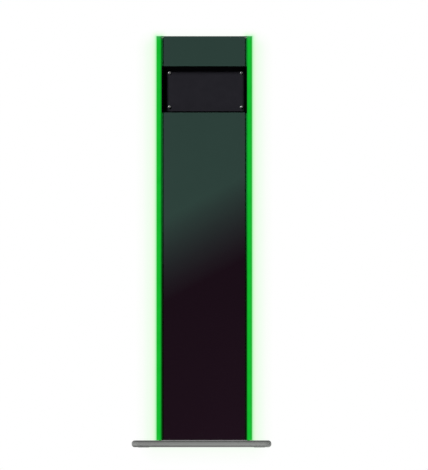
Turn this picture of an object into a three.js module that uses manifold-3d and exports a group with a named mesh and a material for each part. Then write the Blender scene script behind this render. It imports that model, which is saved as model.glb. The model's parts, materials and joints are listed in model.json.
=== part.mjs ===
// Counter-standing customer pole display: a slim black column on a weighted base plate, with a
// lit green bar down each front edge and a recessed display window near its top.
//
// Units are millimetres and +Z is up. The object's front faces -Y and +X is to the viewer's
// right. The origin is on the counter, under the middle of the base plate.

import * as THREE from "three";
import { mergeVertices } from "three/addons/utils/BufferGeometryUtils.js";
import Module from "manifold-3d";

// ---------------------------------------------------------------- driving dimensions

const GAP = 0.3; // clearance between neighbouring pieces
const RUNNING = 0.1; // clearance around a piece that turns or slides in another

const BASE_WIDTH = 279;
const BASE_DEPTH = 200;
const BASE_THICKNESS = 13.5;
const BASE_EDGE = 6; // radius of the bull-nosed edge
const BASE_CORNER = 14; // corner radius in plan
const PAD_RADIUS = 11;
const PAD_THICKNESS = 3;
const PAD_PROUD = 0.5; // how far the rubber pads stand out below the plate
const PAD_INSET = 24; // from the plate's sides to the middle of a pad

const COLUMN_SHIFT = 5.5; // the column stands this far right of the base plate's middle
const COLUMN_WIDTH = 190;
const COLUMN_DEPTH = 60;
const COLUMN_HEIGHT = 807;
const REAR_CORNER = 3; // outer radius of the extrusion's rear corners
const WALL = 2; // wall thickness of the extrusion

const BAR_WIDTH = 9.6; // light bar, seen from the front
const BAR_DEPTH = 19.7; // light bar, seen from the side
const BAR_SKIN = 2.2; // wall of the opal diffuser

const PANEL_THICKNESS = 3;
const PANEL_SEAM = 4.2; // the dark groove between the front panel and a light bar
const FIN_INSET = 1.4; // the extrusion's fin beside a bar ends this far behind the front
const TAPE_THICKNESS = 0.8;
const FLANGE_WIDTH = 13; // the extrusion's front flanges, which the panels are taped to

const WINDOW_BOTTOM = 654.8; // the display window, above the base plate's top
const WINDOW_TOP = 746.8;
const RECESS = 9; // the window plate lies this far behind the front
const SCREEN_SHIFT_X = 2.4; // the display sits this far right of the window's middle
const SCREEN_SHIFT_Z = -1.3; // and a little below it
const SCREEN_SCREW_X = 71.8; // its four screws, from the display's middle
const SCREEN_SCREW_Z = 34;

const CAP_THICKNESS = 3;
const PORT_RADIUS = 2.8; // clearance of an M5 screw in the extrusion's screw ports
const PORT_X = 88.3;
const PORT_FRONT_Y = -3.3;
const PORT_REAR_Y = 23.3;
const M5_RADIUS = 2.5;

const DOOR_HALF_WIDTH = 77;
const DOOR_BOTTOM = 84;
const DOOR_TOP = 774;
const DOOR_THICKNESS = 1.5;
const DOOR_LAP = 7; // the door covers the edge of its opening by this much at the sides
const DOOR_LAP_Z = 12; // and by this much at the top and bottom
const HINGE_X = -80.5;
const HINGE_Z = [170, 688]; // middles of the two hinges
const KNUCKLE_RADIUS = 3.3;
const KNUCKLE_LENGTH = 14;
const HINGE_LEAF = 1.5;
const HINGE_PIN_RADIUS = 1.5;
const LOCK_X = 58;
const LOCK_Z = 430;
const CAM_REACH = 17;

const IO_Z = 44; // middle of the connector plate
const IO_HALF_WIDTH = 62;
const IO_HALF_HEIGHT = 26;
const IO_THICKNESS = 1.5;
const INLET_X = -44;
const SWITCH_X = -18;
const BUTTON_X = 8;
const SOCKET_X = 38;
const SWITCH_TILT = THREE.MathUtils.degToRad(10); // the rocker rests pressed in at its top

const INLET_REAR = 16;
const SWITCH_REAR = 14;
const BUTTON_REAR = 20;
const SOCKET_REAR = 10;

const BOARD_HALF_WIDTH = 52;
const BOARD_BOTTOM = 412;
const BOARD_TOP = 548;
const POWER_HEADER_X = 35;
const DATA_HEADER_X = 35;

// ---------------------------------------------------------------- levels worked out from them

const HALF_WIDTH = COLUMN_WIDTH / 2;
const FRONT = -COLUMN_DEPTH / 2;
const BACK = COLUMN_DEPTH / 2;
const BASE_BOTTOM = PAD_PROUD;
const BASE_TOP = PAD_PROUD + BASE_THICKNESS;

const BAR_INNER = HALF_WIDTH - BAR_WIDTH; // inner face of a light bar
const BAR_BACK = FRONT + BAR_DEPTH;
const SHELF_FRONT = BAR_BACK + GAP; // the extrusion's shelf behind a light bar
const SHELF_BACK = SHELF_FRONT + WALL;
const INNER_WALL = BAR_INNER - GAP; // the extrusion's wall beside a light bar

const PANEL_BACK = FRONT + PANEL_THICKNESS;
const PANEL_HALF_WIDTH = BAR_INNER - PANEL_SEAM;
const TAPE_FRONT = PANEL_BACK + GAP;
const FLANGE_FRONT = TAPE_FRONT + TAPE_THICKNESS + GAP;
const FLANGE_BACK = FLANGE_FRONT + WALL;
const FIN_FRONT = FRONT + FIN_INSET;

const CAP_BOTTOM = COLUMN_HEIGHT - CAP_THICKNESS;
const WINDOW_MIDDLE = (WINDOW_BOTTOM + WINDOW_TOP) / 2;
const WINDOW_FRONT = FRONT + RECESS;
const WINDOW_THICKNESS = 3;
const TRAY_FLANGE_FRONT = WINDOW_FRONT + WINDOW_THICKNESS + GAP;
const TRAY_FLANGE_BACK = TRAY_FLANGE_FRONT + 2.3;
const TRAY_BOSS_END = TRAY_FLANGE_BACK + 6.4;

const OUTER_FACE = BACK + GAP; // what is fastened on the outside of the back wall starts here
const DOOR_OUTER = OUTER_FACE + DOOR_THICKNESS;
const HINGE_Y = OUTER_FACE + 3.6;
const IO_OUTER = OUTER_FACE + IO_THICKNESS;
const PLATE_FRONT = FLANGE_BACK + GAP; // equipment plate, behind the front flanges
const PLATE_BACK = PLATE_FRONT + 1.5;
const BOARD_FRONT = PLATE_BACK + 10.6;
const BOARD_BACK = BOARD_FRONT + 1.6;

// ---------------------------------------------------------------- solid helpers

const wasm = await Module();
wasm.setup();

function toSolid(geometry) {
  const bare = geometry.index ? geometry.toNonIndexed() : geometry.clone();
  bare.deleteAttribute("normal");
  bare.deleteAttribute("uv");
  const merged = mergeVertices(bare, 1e-4);
  return new wasm.Manifold(
    new wasm.Mesh({
      numProp: 3,
      vertProperties: merged.attributes.position.array,
      triVerts: new Uint32Array(merged.index.array),
    }),
  );
}

function toGeometry(solid) {
  const mesh = solid.getMesh();
  const geometry = new THREE.BufferGeometry();
  geometry.setAttribute("position", new THREE.BufferAttribute(mesh.vertProperties, 3));
  geometry.setIndex(new THREE.BufferAttribute(mesh.triVerts, 1));
  const faceted = geometry.toNonIndexed();
  faceted.computeVertexNormals();
  return faceted;
}

function join(first, ...others) {
  return toGeometry(others.reduce((sum, piece) => sum.add(toSolid(piece)), toSolid(first)));
}

function cut(body, ...tools) {
  return toGeometry(tools.reduce((rest, tool) => rest.subtract(toSolid(tool)), toSolid(body)));
}

// A block between two corners.
function block(x0, x1, y0, y1, z0, z1) {
  return new THREE.BoxGeometry(Math.abs(x1 - x0), y1 - y0, z1 - z0).translate(
    (x0 + x1) / 2,
    (y0 + y1) / 2,
    (z0 + z1) / 2,
  );
}

// Round bars along each axis, from one level to another.
function barY(radius, x, z, y0, y1, sides = 24) {
  return new THREE.CylinderGeometry(radius, radius, y1 - y0, sides).translate(x, (y0 + y1) / 2, z);
}

function barZ(radius, x, y, z0, z1, sides = 24) {
  return new THREE.CylinderGeometry(radius, radius, z1 - z0, sides)
    .rotateX(Math.PI / 2)
    .translate(x, y, (z0 + z1) / 2);
}

function barX(radius, y, z, x0, x1, sides = 16) {
  return new THREE.CylinderGeometry(radius, radius, Math.abs(x1 - x0), sides)
    .rotateZ(Math.PI / 2)
    .translate((x0 + x1) / 2, y, z);
}

// A plan outline in (x, y), standing from z0 to z1.
function prismZ(shape, z0, z1, curveSegments = 6) {
  return new THREE.ExtrudeGeometry(shape, {
    depth: z1 - z0,
    bevelEnabled: false,
    curveSegments,
  }).translate(0, 0, z0);
}

// A front outline in (x, z), reaching from y0 back to y1.
function prismY(shape, y0, y1, curveSegments = 6) {
  return new THREE.ExtrudeGeometry(shape, { depth: y1 - y0, bevelEnabled: false, curveSegments })
    .rotateX(Math.PI / 2)
    .translate(0, y1, 0);
}

// A side outline in (y, z), reaching from x0 to x1.
function prismX(shape, x0, x1) {
  const axes = new THREE.Matrix4().makeBasis(
    new THREE.Vector3(0, 1, 0),
    new THREE.Vector3(0, 0, 1),
    new THREE.Vector3(1, 0, 0),
  );
  return new THREE.ExtrudeGeometry(shape, { depth: x1 - x0, bevelEnabled: false })
    .applyMatrix4(axes)
    .translate(x0, 0, 0);
}

function roundedRectangle(halfWidth, halfHeight, radius, centreX = 0, centreY = 0) {
  const right = centreX + halfWidth;
  const left = centreX - halfWidth;
  const top = centreY + halfHeight;
  const bottom = centreY - halfHeight;
  return new THREE.Shape()
    .moveTo(left + radius, bottom)
    .absarc(right - radius, bottom + radius, radius, -Math.PI / 2, 0)
    .absarc(right - radius, top - radius, radius, 0, Math.PI / 2)
    .absarc(left + radius, top - radius, radius, Math.PI / 2, Math.PI)
    .absarc(left + radius, bottom + radius, radius, Math.PI, 1.5 * Math.PI);
}

// A closed turned profile of [radius, height] points, revolved about +Y.
function turned(points, sides = 24) {
  return new THREE.LatheGeometry(
    points.map(([radius, height]) => new THREE.Vector2(radius, height)),
    sides,
  );
}

// A hexagonal bar along +Y, given across its flats.
function hexagon(acrossFlats, x, z, y0, y1) {
  return barY(acrossFlats / Math.sqrt(3), x, z, y0, y1, 6);
}

function onEachSide(make) {
  return [
    ["left", -1],
    ["right", 1],
  ].map(([name, side]) => make(name, side));
}

// ---------------------------------------------------------------- materials

function material(color, roughness, metalness = 0, extra = {}) {
  return new THREE.MeshStandardMaterial({ color, roughness, metalness, ...extra });
}

const paintedSteel = material(0x888a87, 0.5, 0.2);
const rubber = material(0x1b1b1b, 0.9);
const anodised = material(0x17181a, 0.4, 0.6);
const blackPaint = material(0x141416, 0.55, 0.1);
const glossPanel = material(0x242426, 0.08);
const smokedAcrylic = material(0x232227, 0.12);
const mattBlack = material(0x060607, 0.7);
const litOpal = material(0x12bb30, 0.35, 0, { emissive: 0x0fa82a, emissiveIntensity: 0.9 });
const stainless = material(0xa8a8a4, 0.3, 1);
const zinc = material(0xb4b6b8, 0.4, 0.9);
const circuitBoard = material(0x14402a, 0.5);
const flexBoard = material(0xe6e6e2, 0.5);
const foam = material(0x3a3a3c, 0.9);
const blackPlastic = material(0x101011, 0.45);
const cableJacket = material(0x161616, 0.6);
const ribbonJacket = material(0x8c8f92, 0.55);
const glassFace = material(0x0b0d10, 0.05);

function part(name, geometry, finish) {
  const mesh = new THREE.Mesh(geometry, finish);
  mesh.name = name;
  return mesh;
}

function group(...members) {
  const made = new THREE.Group();
  made.add(...members.flat());
  return made;
}

// ---------------------------------------------------------------- base

const portPlaces = [
  [-PORT_X, PORT_FRONT_Y],
  [PORT_X, PORT_FRONT_Y],
  [-PORT_X, PORT_REAR_Y],
  [PORT_X, PORT_REAR_Y],
];

const padPlaces = [
  [-1, -1],
  [1, -1],
  [-1, 1],
  [1, 1],
].map(([sx, sy]) => [sx * (BASE_WIDTH / 2 - PAD_INSET), sy * (BASE_DEPTH / 2 - PAD_INSET)]);

const BOLT_HEAD_RADIUS = 4.8;
const BOLT_CONE = BOLT_HEAD_RADIUS - M5_RADIUS;
const BOLT_LAND = 0.2; // the short straight rim of a countersunk head
const BOLT_LENGTH = 27;
const CAP_SCREW_LENGTH = 16;

// A countersunk M5 screw along +Y, its flat head at y = 0 and its tip at y = length.
function countersunkScrew(length, socket) {
  const profile = [
    [0, 0],
    [BOLT_HEAD_RADIUS, 0],
    [BOLT_HEAD_RADIUS, BOLT_LAND],
    [M5_RADIUS, BOLT_LAND + BOLT_CONE],
    [M5_RADIUS, length - 0.6],
    [M5_RADIUS - 0.6, length],
    [0, length],
  ];
  return cut(turned(profile), hexagon(socket, 0, 0, -1, 1.9));
}

// The hole that such a screw needs, in the screw's own frame.
function countersunkHole(length) {
  const mouth = PORT_RADIUS + BOLT_CONE;
  return turned([
    [0, -2],
    [mouth, -2],
    [mouth, BOLT_LAND + 0.15],
    [PORT_RADIUS, BOLT_LAND + 0.15 + BOLT_CONE],
    [PORT_RADIUS, length],
    [0, length],
  ]);
}

function basePlate() {
  const outline = roundedRectangle(
    BASE_WIDTH / 2 - BASE_EDGE,
    BASE_DEPTH / 2 - BASE_EDGE,
    BASE_CORNER - BASE_EDGE,
  );
  const plate = new THREE.ExtrudeGeometry(outline, {
    depth: BASE_THICKNESS - 2 * BASE_EDGE,
    bevelThickness: BASE_EDGE,
    bevelSize: BASE_EDGE,
    bevelSegments: 6,
    curveSegments: 6,
  }).translate(0, 0, BASE_BOTTOM + BASE_EDGE);
  const pockets = padPlaces.map(([x, y]) =>
    barZ(PAD_RADIUS + GAP, x, y, 0, PAD_THICKNESS + GAP),
  );
  const boltHoles = portPlaces.map(([x, y]) =>
    countersunkHole(BOLT_LENGTH)
      .rotateX(Math.PI / 2)
      .translate(x + COLUMN_SHIFT, y, BASE_BOTTOM + GAP),
  );
  return part("base_plate", cut(plate, ...pockets, ...boltHoles), paintedSteel);
}

function basePads() {
  return padPlaces.map(([x, y], i) =>
    part(`base_pad_${i + 1}`, barZ(PAD_RADIUS, x, y, 0, PAD_THICKNESS), rubber),
  );
}

// Base bolts go up through the plate into the extrusion's screw ports.
function baseBolts() {
  return portPlaces.map(([x, y], i) => {
    const bolt = part(`base_bolt_${i + 1}`, countersunkScrew(BOLT_LENGTH, 3), zinc);
    bolt.rotation.x = Math.PI / 2;
    bolt.position.set(x + COLUMN_SHIFT, y, BASE_BOTTOM + GAP);
    return bolt;
  });
}

// ---------------------------------------------------------------- column

function extrusionOutline() {
  const flangeTip = INNER_WALL - FLANGE_WIDTH;
  const innerFace = INNER_WALL - WALL;
  const wallFace = HALF_WIDTH - WALL;
  const cornerX = HALF_WIDTH - REAR_CORNER;
  const cornerY = BACK - REAR_CORNER;
  return new THREE.Shape()
    .moveTo(flangeTip, FLANGE_FRONT)
    .lineTo(innerFace, FLANGE_FRONT)
    .lineTo(innerFace, FIN_FRONT)
    .lineTo(INNER_WALL, FIN_FRONT)
    .lineTo(INNER_WALL, SHELF_FRONT)
    .lineTo(HALF_WIDTH, SHELF_FRONT)
    .absarc(cornerX, cornerY, REAR_CORNER, 0, Math.PI / 2)
    .absarc(-cornerX, cornerY, REAR_CORNER, Math.PI / 2, Math.PI)
    .lineTo(-HALF_WIDTH, SHELF_FRONT)
    .lineTo(-INNER_WALL, SHELF_FRONT)
    .lineTo(-INNER_WALL, FIN_FRONT)
    .lineTo(-innerFace, FIN_FRONT)
    .lineTo(-innerFace, FLANGE_FRONT)
    .lineTo(-flangeTip, FLANGE_FRONT)
    .lineTo(-flangeTip, FLANGE_BACK)
    .lineTo(-innerFace, FLANGE_BACK)
    .lineTo(-innerFace, SHELF_BACK)
    .lineTo(-wallFace, SHELF_BACK)
    .lineTo(-wallFace, BACK - WALL)
    .lineTo(wallFace, BACK - WALL)
    .lineTo(wallFace, SHELF_BACK)
    .lineTo(innerFace, SHELF_BACK)
    .lineTo(innerFace, FLANGE_BACK)
    .lineTo(flangeTip, FLANGE_BACK);
}

const LEAD_HOLE_RADIUS = 2.4;
const LEAD_HOLE_Y = -19;
const LEAD_HOLE_Z = 480;

function columnExtrusion() {
  const foot = GAP;
  const head = CAP_BOTTOM - GAP;
  const bosses = portPlaces.map(([x, y]) => barZ(5, x, y, foot, head));
  const ports = portPlaces.map(([x, y]) => barZ(PORT_RADIUS, x, y, -1, head + 1));
  const countersinks = portPlaces.map(([x, y]) => barZ(4.2, x, y, head - 0.9, head + 1));
  const windowNotch = block(
    -HALF_WIDTH + 9,
    HALF_WIDTH - 9,
    FRONT,
    TRAY_FLANGE_BACK + GAP,
    WINDOW_BOTTOM - GAP,
    WINDOW_TOP + GAP,
  );
  const doorOpening = block(
    -DOOR_HALF_WIDTH + DOOR_LAP,
    DOOR_HALF_WIDTH - DOOR_LAP,
    BACK - 2 * WALL,
    BACK + WALL,
    DOOR_BOTTOM + DOOR_LAP_Z,
    DOOR_TOP - DOOR_LAP_Z,
  );
  const ioOpening = block(
    -IO_HALF_WIDTH + 6,
    IO_HALF_WIDTH - 6,
    BACK - 2 * WALL,
    BACK + WALL,
    IO_Z - IO_HALF_HEIGHT + 5,
    IO_Z + IO_HALF_HEIGHT - 5,
  );
  const leadHoles = onEachSide((_, side) =>
    barX(LEAD_HOLE_RADIUS, LEAD_HOLE_Y, LEAD_HOLE_Z, side * 80, side * 87),
  );
  const walls = join(prismZ(extrusionOutline(), foot, head), ...bosses);
  const body = cut(
    walls,
    ...ports,
    ...countersinks,
    windowNotch,
    doorOpening,
    ioOpening,
    ...leadHoles,
  );
  return part("column_extrusion", body, anodised);
}

function frontPanels() {
  const panel = (name, z0, z1) =>
    part(name, block(-PANEL_HALF_WIDTH, PANEL_HALF_WIDTH, FRONT, PANEL_BACK, z0, z1), glossPanel);
  return [
    panel("front_panel_lower", GAP, WINDOW_BOTTOM - GAP),
    panel("front_panel_upper", WINDOW_TOP + GAP, COLUMN_HEIGHT),
  ];
}

function panelTapes() {
  const tape = (name, side, z0, z1) => {
    const outer = side * (PANEL_HALF_WIDTH - 0.5);
    const inner = side * (INNER_WALL - FLANGE_WIDTH + 1);
    const strip = block(outer, inner, TAPE_FRONT, TAPE_FRONT + TAPE_THICKNESS, z0, z1);
    return part(name, strip, foam);
  };
  return onEachSide((name, side) => [
    tape(`panel_tape_lower_${name}`, side, 6, WINDOW_BOTTOM - 6),
    tape(`panel_tape_upper_${name}`, side, WINDOW_TOP + 6, CAP_BOTTOM - 4),
  ]).flat();
}

// An opal channel, open towards the extrusion and closed at both ends.
function lightDiffusers() {
  return onEachSide((name, side) => {
    const outside = block(
      side * BAR_INNER,
      side * HALF_WIDTH,
      FRONT,
      BAR_BACK,
      GAP,
      COLUMN_HEIGHT,
    );
    const hollow = block(
      side * (BAR_INNER - 1),
      side * (HALF_WIDTH - BAR_SKIN),
      FRONT + BAR_SKIN,
      BAR_BACK - BAR_SKIN,
      GAP + BAR_SKIN,
      COLUMN_HEIGHT - BAR_SKIN,
    );
    return part(`light_diffuser_${name}`, cut(outside, hollow), litOpal);
  });
}

// A flexible strip stuck on the extrusion inside each light bar, with a light every 20 mm.
function ledStrips() {
  const pitch = 20;
  return onEachSide((name, side) => {
    const tapeBack = BAR_INNER + 0.8;
    const strip = block(side * BAR_INNER, side * tapeBack, -24, -14, 10, COLUMN_HEIGHT - 10);
    const lights = [];
    for (let z = pitch; z < COLUMN_HEIGHT - 10; z += pitch) {
      lights.push(
        block(side * (tapeBack - 0.2), side * (tapeBack + 1.6), -21.5, -16.5, z - 2.5, z + 2.5),
      );
    }
    return part(`led_strip_${name}`, join(strip, ...lights), flexBoard);
  });
}

function topCap() {
  const cornerX = HALF_WIDTH - REAR_CORNER;
  const cornerY = BACK - REAR_CORNER;
  const frontEdge = PANEL_BACK + GAP;
  const outline = new THREE.Shape()
    .moveTo(-INNER_WALL, frontEdge)
    .lineTo(INNER_WALL, frontEdge)
    .lineTo(INNER_WALL, SHELF_FRONT)
    .lineTo(HALF_WIDTH, SHELF_FRONT)
    .absarc(cornerX, cornerY, REAR_CORNER, 0, Math.PI / 2)
    .absarc(-cornerX, cornerY, REAR_CORNER, Math.PI / 2, Math.PI)
    .lineTo(-HALF_WIDTH, SHELF_FRONT)
    .lineTo(-INNER_WALL, SHELF_FRONT);
  const plate = prismZ(outline, CAP_BOTTOM, COLUMN_HEIGHT);
  const holes = portPlaces.map(([x, y]) =>
    countersunkHole(CAP_SCREW_LENGTH)
      .rotateX(-Math.PI / 2)
      .translate(x, y, COLUMN_HEIGHT - GAP),
  );
  return part("top_cap", cut(plate, ...holes), anodised);
}

function topCapScrews() {
  return portPlaces.map(([x, y], i) => {
    const screw = part(`top_cap_screw_${i + 1}`, countersunkScrew(CAP_SCREW_LENGTH, 3), stainless);
    screw.rotation.x = -Math.PI / 2;
    screw.position.set(x, y, COLUMN_HEIGHT - GAP);
    return screw;
  });
}

// ---------------------------------------------------------------- display

const screenScrewPlaces = [
  [-1, 1],
  [1, 1],
  [-1, -1],
  [1, -1],
].map(([sx, sz]) => [SCREEN_SHIFT_X + sx * SCREEN_SCREW_X, SCREEN_SHIFT_Z + sz * SCREEN_SCREW_Z]);
const TRAY_HALF_WIDTH = BAR_INNER - 0.6;
const TRAY_HALF_HEIGHT = (WINDOW_TOP - WINDOW_BOTTOM) / 2 - 0.1;
const TRAY_WALL = 2;
const WINDOW_HALF_WIDTH = TRAY_HALF_WIDTH - TRAY_WALL - GAP;
const WINDOW_HALF_HEIGHT = TRAY_HALF_HEIGHT - TRAY_WALL - GAP;

// A block around the display's own middle.
function screenBlock(halfWidth, halfHeight, y0, y1) {
  const [x, z] = [SCREEN_SHIFT_X, SCREEN_SHIFT_Z];
  return block(x - halfWidth, x + halfWidth, y0, y1, z - halfHeight, z + halfHeight);
}

// The black tray that forms the recess: four walls, a back flange and four screw bosses.
function displayTray() {
  const outside = block(
    -TRAY_HALF_WIDTH,
    TRAY_HALF_WIDTH,
    FRONT,
    TRAY_FLANGE_BACK,
    -TRAY_HALF_HEIGHT,
    TRAY_HALF_HEIGHT,
  );
  const bosses = screenScrewPlaces.map(([x, z]) =>
    barY(4, x, z, TRAY_FLANGE_BACK - 1, TRAY_BOSS_END),
  );
  const recess = block(
    -TRAY_HALF_WIDTH + TRAY_WALL,
    TRAY_HALF_WIDTH - TRAY_WALL,
    FRONT - 1,
    TRAY_FLANGE_FRONT,
    -TRAY_HALF_HEIGHT + TRAY_WALL,
    TRAY_HALF_HEIGHT - TRAY_WALL,
  );
  const opening = screenBlock(64.8, 29, FRONT, BACK);
  const threads = screenScrewPlaces.map(([x, z]) => barY(1.8, x, z, FRONT, TRAY_BOSS_END - 1, 16));
  const shape = cut(join(outside, ...bosses), recess, opening, ...threads);
  return part("display_tray", shape, mattBlack);
}

function displayWindow() {
  const outline = roundedRectangle(WINDOW_HALF_WIDTH, WINDOW_HALF_HEIGHT, 1.5);
  const plate = prismY(outline, WINDOW_FRONT, WINDOW_FRONT + WINDOW_THICKNESS, 3);
  const holes = screenScrewPlaces.map(([x, z]) => barY(1.8, x, z, FRONT, BACK, 16));
  return part("display_window", cut(plate, ...holes), smokedAcrylic);
}

// M3 button-head screws with a hexagon socket, head outwards.
function displayScrews() {
  const headHeight = 1.7;
  const profile = [
    [0, -headHeight],
    [1.6, -headHeight],
    [2.3, -headHeight + 0.35],
    [2.7, -headHeight + 0.9],
    [2.85, 0],
    [1.5, 0],
    [1.5, 10.6],
    [1.1, 11],
    [0, 11],
  ];
  return screenScrewPlaces.map(([x, z], i) => {
    const shape = cut(turned(profile), hexagon(2, 0, 0, -headHeight - 1, -headHeight + 1));
    const screw = part(`display_screw_${i + 1}`, shape, stainless);
    screw.position.set(x, WINDOW_FRONT - GAP, z);
    return screw;
  });
}

const MODULE_FRONT = TRAY_FLANGE_BACK + GAP;
const MODULE_BACK = MODULE_FRONT + 6;
const DISPLAY_BOARD_FRONT = TRAY_BOSS_END + GAP;
const DISPLAY_BOARD_BACK = DISPLAY_BOARD_FRONT + 1.6;
const RIBBON_SOCKET_Z = -36; // lower edge of the ribbon's socket, from the window's middle

function displayModule() {
  const frame = screenBlock(66, 32, MODULE_FRONT, MODULE_BACK);
  const glass = screenBlock(64, 28, MODULE_FRONT - 2, MODULE_FRONT + 0.5);
  return part("display_module", join(frame, glass), glassFace);
}

function displayBoard() {
  const back = DISPLAY_BOARD_BACK;
  const board = screenBlock(76, 38, DISPLAY_BOARD_FRONT, back);
  const holes = screenScrewPlaces.map(([x, z]) => barY(1.6, x, z, FRONT, BACK, 12));
  const fittings = [
    block(-15, 15, back - 0.2, back + 6, RIBBON_SOCKET_Z, RIBBON_SOCKET_Z + 7.5),
    block(-11, 11, back - 0.2, back + 1.8, -10, 12),
    block(30, 42, back - 0.2, back + 3.2, -6, 6),
    block(-46, -36, back - 0.2, back + 2.4, 4, 18),
    barY(4, -50, -16, back - 0.2, back + 8, 16),
    barY(4, -38, -16, back - 0.2, back + 8, 16),
    block(48, 62, back - 0.2, back + 4, 14, 28),
  ];
  return part("display_board", cut(join(board, ...fittings), ...holes), circuitBoard);
}

// ---------------------------------------------------------------- equipment inside the column

function equipmentPlate() {
  const halfWidth = INNER_WALL - WALL - GAP;
  const plate = prismY(roundedRectangle(halfWidth, 80, 3, 0, 480), PLATE_FRONT, PLATE_BACK, 3);
  const standoffs = [];
  for (const x of [-46, 46]) {
    for (const z of [BOARD_BOTTOM + 6, BOARD_TOP - 6]) {
      standoffs.push(hexagon(5.5, x, z, PLATE_BACK - 0.5, BOARD_FRONT - GAP));
    }
  }
  return part("equipment_plate", join(plate, ...standoffs), zinc);
}

const LEAD_CONNECTOR_Z = 480;

function controllerBoard() {
  const back = BOARD_BACK;
  const seat = back - 0.2;
  const board = block(
    -BOARD_HALF_WIDTH,
    BOARD_HALF_WIDTH,
    BOARD_FRONT,
    back,
    BOARD_BOTTOM,
    BOARD_TOP,
  );
  const header = (x, halfWidth, depth, height) =>
    block(x - halfWidth, x + halfWidth, seat, back + depth, BOARD_BOTTOM, BOARD_BOTTOM + height);
  const fittings = [
    header(-POWER_HEADER_X, 6, 8, 10),
    header(DATA_HEADER_X, 8, 10, 14),
    block(-15, 15, seat, back + 7, BOARD_TOP - 9, BOARD_TOP), // display header
    block(-9, 9, seat, back + 1.8, 486, 504), // processor
    block(18, 28, seat, back + 1.6, 494, 508), // memory
    block(-30, -18, seat, back + 6, 462, 474), // inductor
    block(8, 34, seat, back + 12, 448, 462), // heat sink
    barY(5, -22, 440, seat, back + 11, 16),
    barY(5, -8, 440, seat, back + 11, 16),
    barY(3.5, -36, 520, seat, back + 9, 16),
  ];
  for (const side of [-1, 1]) {
    fittings.push(
      block(
        side * (BOARD_HALF_WIDTH - 9),
        side * BOARD_HALF_WIDTH,
        seat,
        back + 7,
        LEAD_CONNECTOR_Z - 5,
        LEAD_CONNECTOR_Z + 5,
      ),
    );
  }
  return part("controller_board", join(board, ...fittings), circuitBoard);
}

// A round lead of 8 sides that follows a smooth curve through its points.
function tube(radius, steps, points) {
  const route = new THREE.CatmullRomCurve3(
    points.map(([x, y, z]) => new THREE.Vector3(x, y, z)),
    false,
    "centripetal",
  );
  const rim = [0, 1, 2, 3, 4, 5, 6, 7].map((i) => {
    const angle = (i * Math.PI) / 4;
    return new THREE.Vector2(radius * Math.cos(angle), radius * Math.sin(angle));
  });
  return new THREE.ExtrudeGeometry(new THREE.Shape(rim), { steps, extrudePath: route });
}

// From the connector plate up one side of the bay to a header on the controller's lower edge.
function risingLead(side, headerX) {
  return [
    [side * 58, 2, 74],
    [side * 73, 3, 112],
    [side * 77, 4, 180],
    [side * 77, 4, 330],
    [side * 70, 1, 366],
    [side * 46, BOARD_BACK + 6, 386],
    [headerX, BOARD_BACK + 4, 402],
    [headerX, BOARD_BACK + 4, BOARD_BOTTOM - GAP],
  ];
}

function powerLead() {
  const main = tube(1.8, 46, [
    [INLET_X, INLET_REAR - GAP, IO_Z],
    [INLET_X, INLET_REAR - 5, IO_Z],
    [INLET_X - 3, 5, IO_Z + 6],
    ...risingLead(-1, -POWER_HEADER_X),
  ]);
  const fromSwitch = tube(1.4, 12, [
    [SWITCH_X, SWITCH_REAR - GAP, IO_Z],
    [SWITCH_X, SWITCH_REAR - 5, IO_Z],
    [-32, 3, IO_Z + 15],
    [-58, 2, 74],
  ]);
  return part("power_lead", join(main, fromSwitch), cableJacket);
}

function dataLead() {
  const main = tube(2.2, 46, [
    [SOCKET_X, SOCKET_REAR - GAP, IO_Z],
    [SOCKET_X, SOCKET_REAR - 5, IO_Z],
    [SOCKET_X + 5, 1, IO_Z + 8],
    ...risingLead(1, DATA_HEADER_X),
  ]);
  const fromButton = tube(1.2, 12, [
    [BUTTON_X, BUTTON_REAR - GAP, IO_Z],
    [BUTTON_X, BUTTON_REAR - 5, IO_Z],
    [28, 4, IO_Z + 20],
    [58, 2, 74],
  ]);
  return part("data_lead", join(main, fromButton), cableJacket);
}

function barLeads() {
  const start = BOARD_HALF_WIDTH + GAP;
  return onEachSide((name, side) => {
    const shape = tube(1.3, 16, [
      [side * start, BOARD_BACK + 3.5, LEAD_CONNECTOR_Z],
      [side * (start + 5), BOARD_BACK + 3.5, LEAD_CONNECTOR_Z],
      [side * 72, -15, LEAD_HOLE_Z],
      [side * 78, LEAD_HOLE_Y, LEAD_HOLE_Z],
      [side * (BAR_INNER - GAP), LEAD_HOLE_Y, LEAD_HOLE_Z],
    ]);
    return part(`led_lead_${name}`, shape, cableJacket);
  });
}

// A flat ribbon from the controller's top header up to the display board's bottom header.
function displayRibbon() {
  const thickness = 1;
  const route = new THREE.CatmullRomCurve3(
    [
      [BOARD_BACK + 3.5, BOARD_TOP + GAP],
      [BOARD_BACK + 4.5, BOARD_TOP + 16],
      [BOARD_BACK + 9, BOARD_TOP + 60],
      [DISPLAY_BOARD_BACK + 4, WINDOW_MIDDLE + RIBBON_SOCKET_Z - 15],
      [DISPLAY_BOARD_BACK + 3, WINDOW_MIDDLE + RIBBON_SOCKET_Z - GAP],
    ].map(([y, z]) => new THREE.Vector3(y, z, 0)),
    false,
    "centripetal",
  );
  const edge = (side) => {
    const points = [];
    for (let i = 0; i <= 16; i++) {
      const at = route.getPointAt(i / 16);
      const along = route.getTangentAt(i / 16);
      const offset = (side * thickness) / 2;
      points.push(new THREE.Vector2(at.x - along.y * offset, at.y + along.x * offset));
    }
    return points;
  };
  const outline = new THREE.Shape([...edge(1), ...edge(-1).reverse()]);
  return part("display_ribbon", prismX(outline, -13, 13), ribbonJacket);
}

// ---------------------------------------------------------------- service door

const DOOR_SLOTS = [0, 1, 2, 3, 4];
const SLOT_PITCH = 10;

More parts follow.
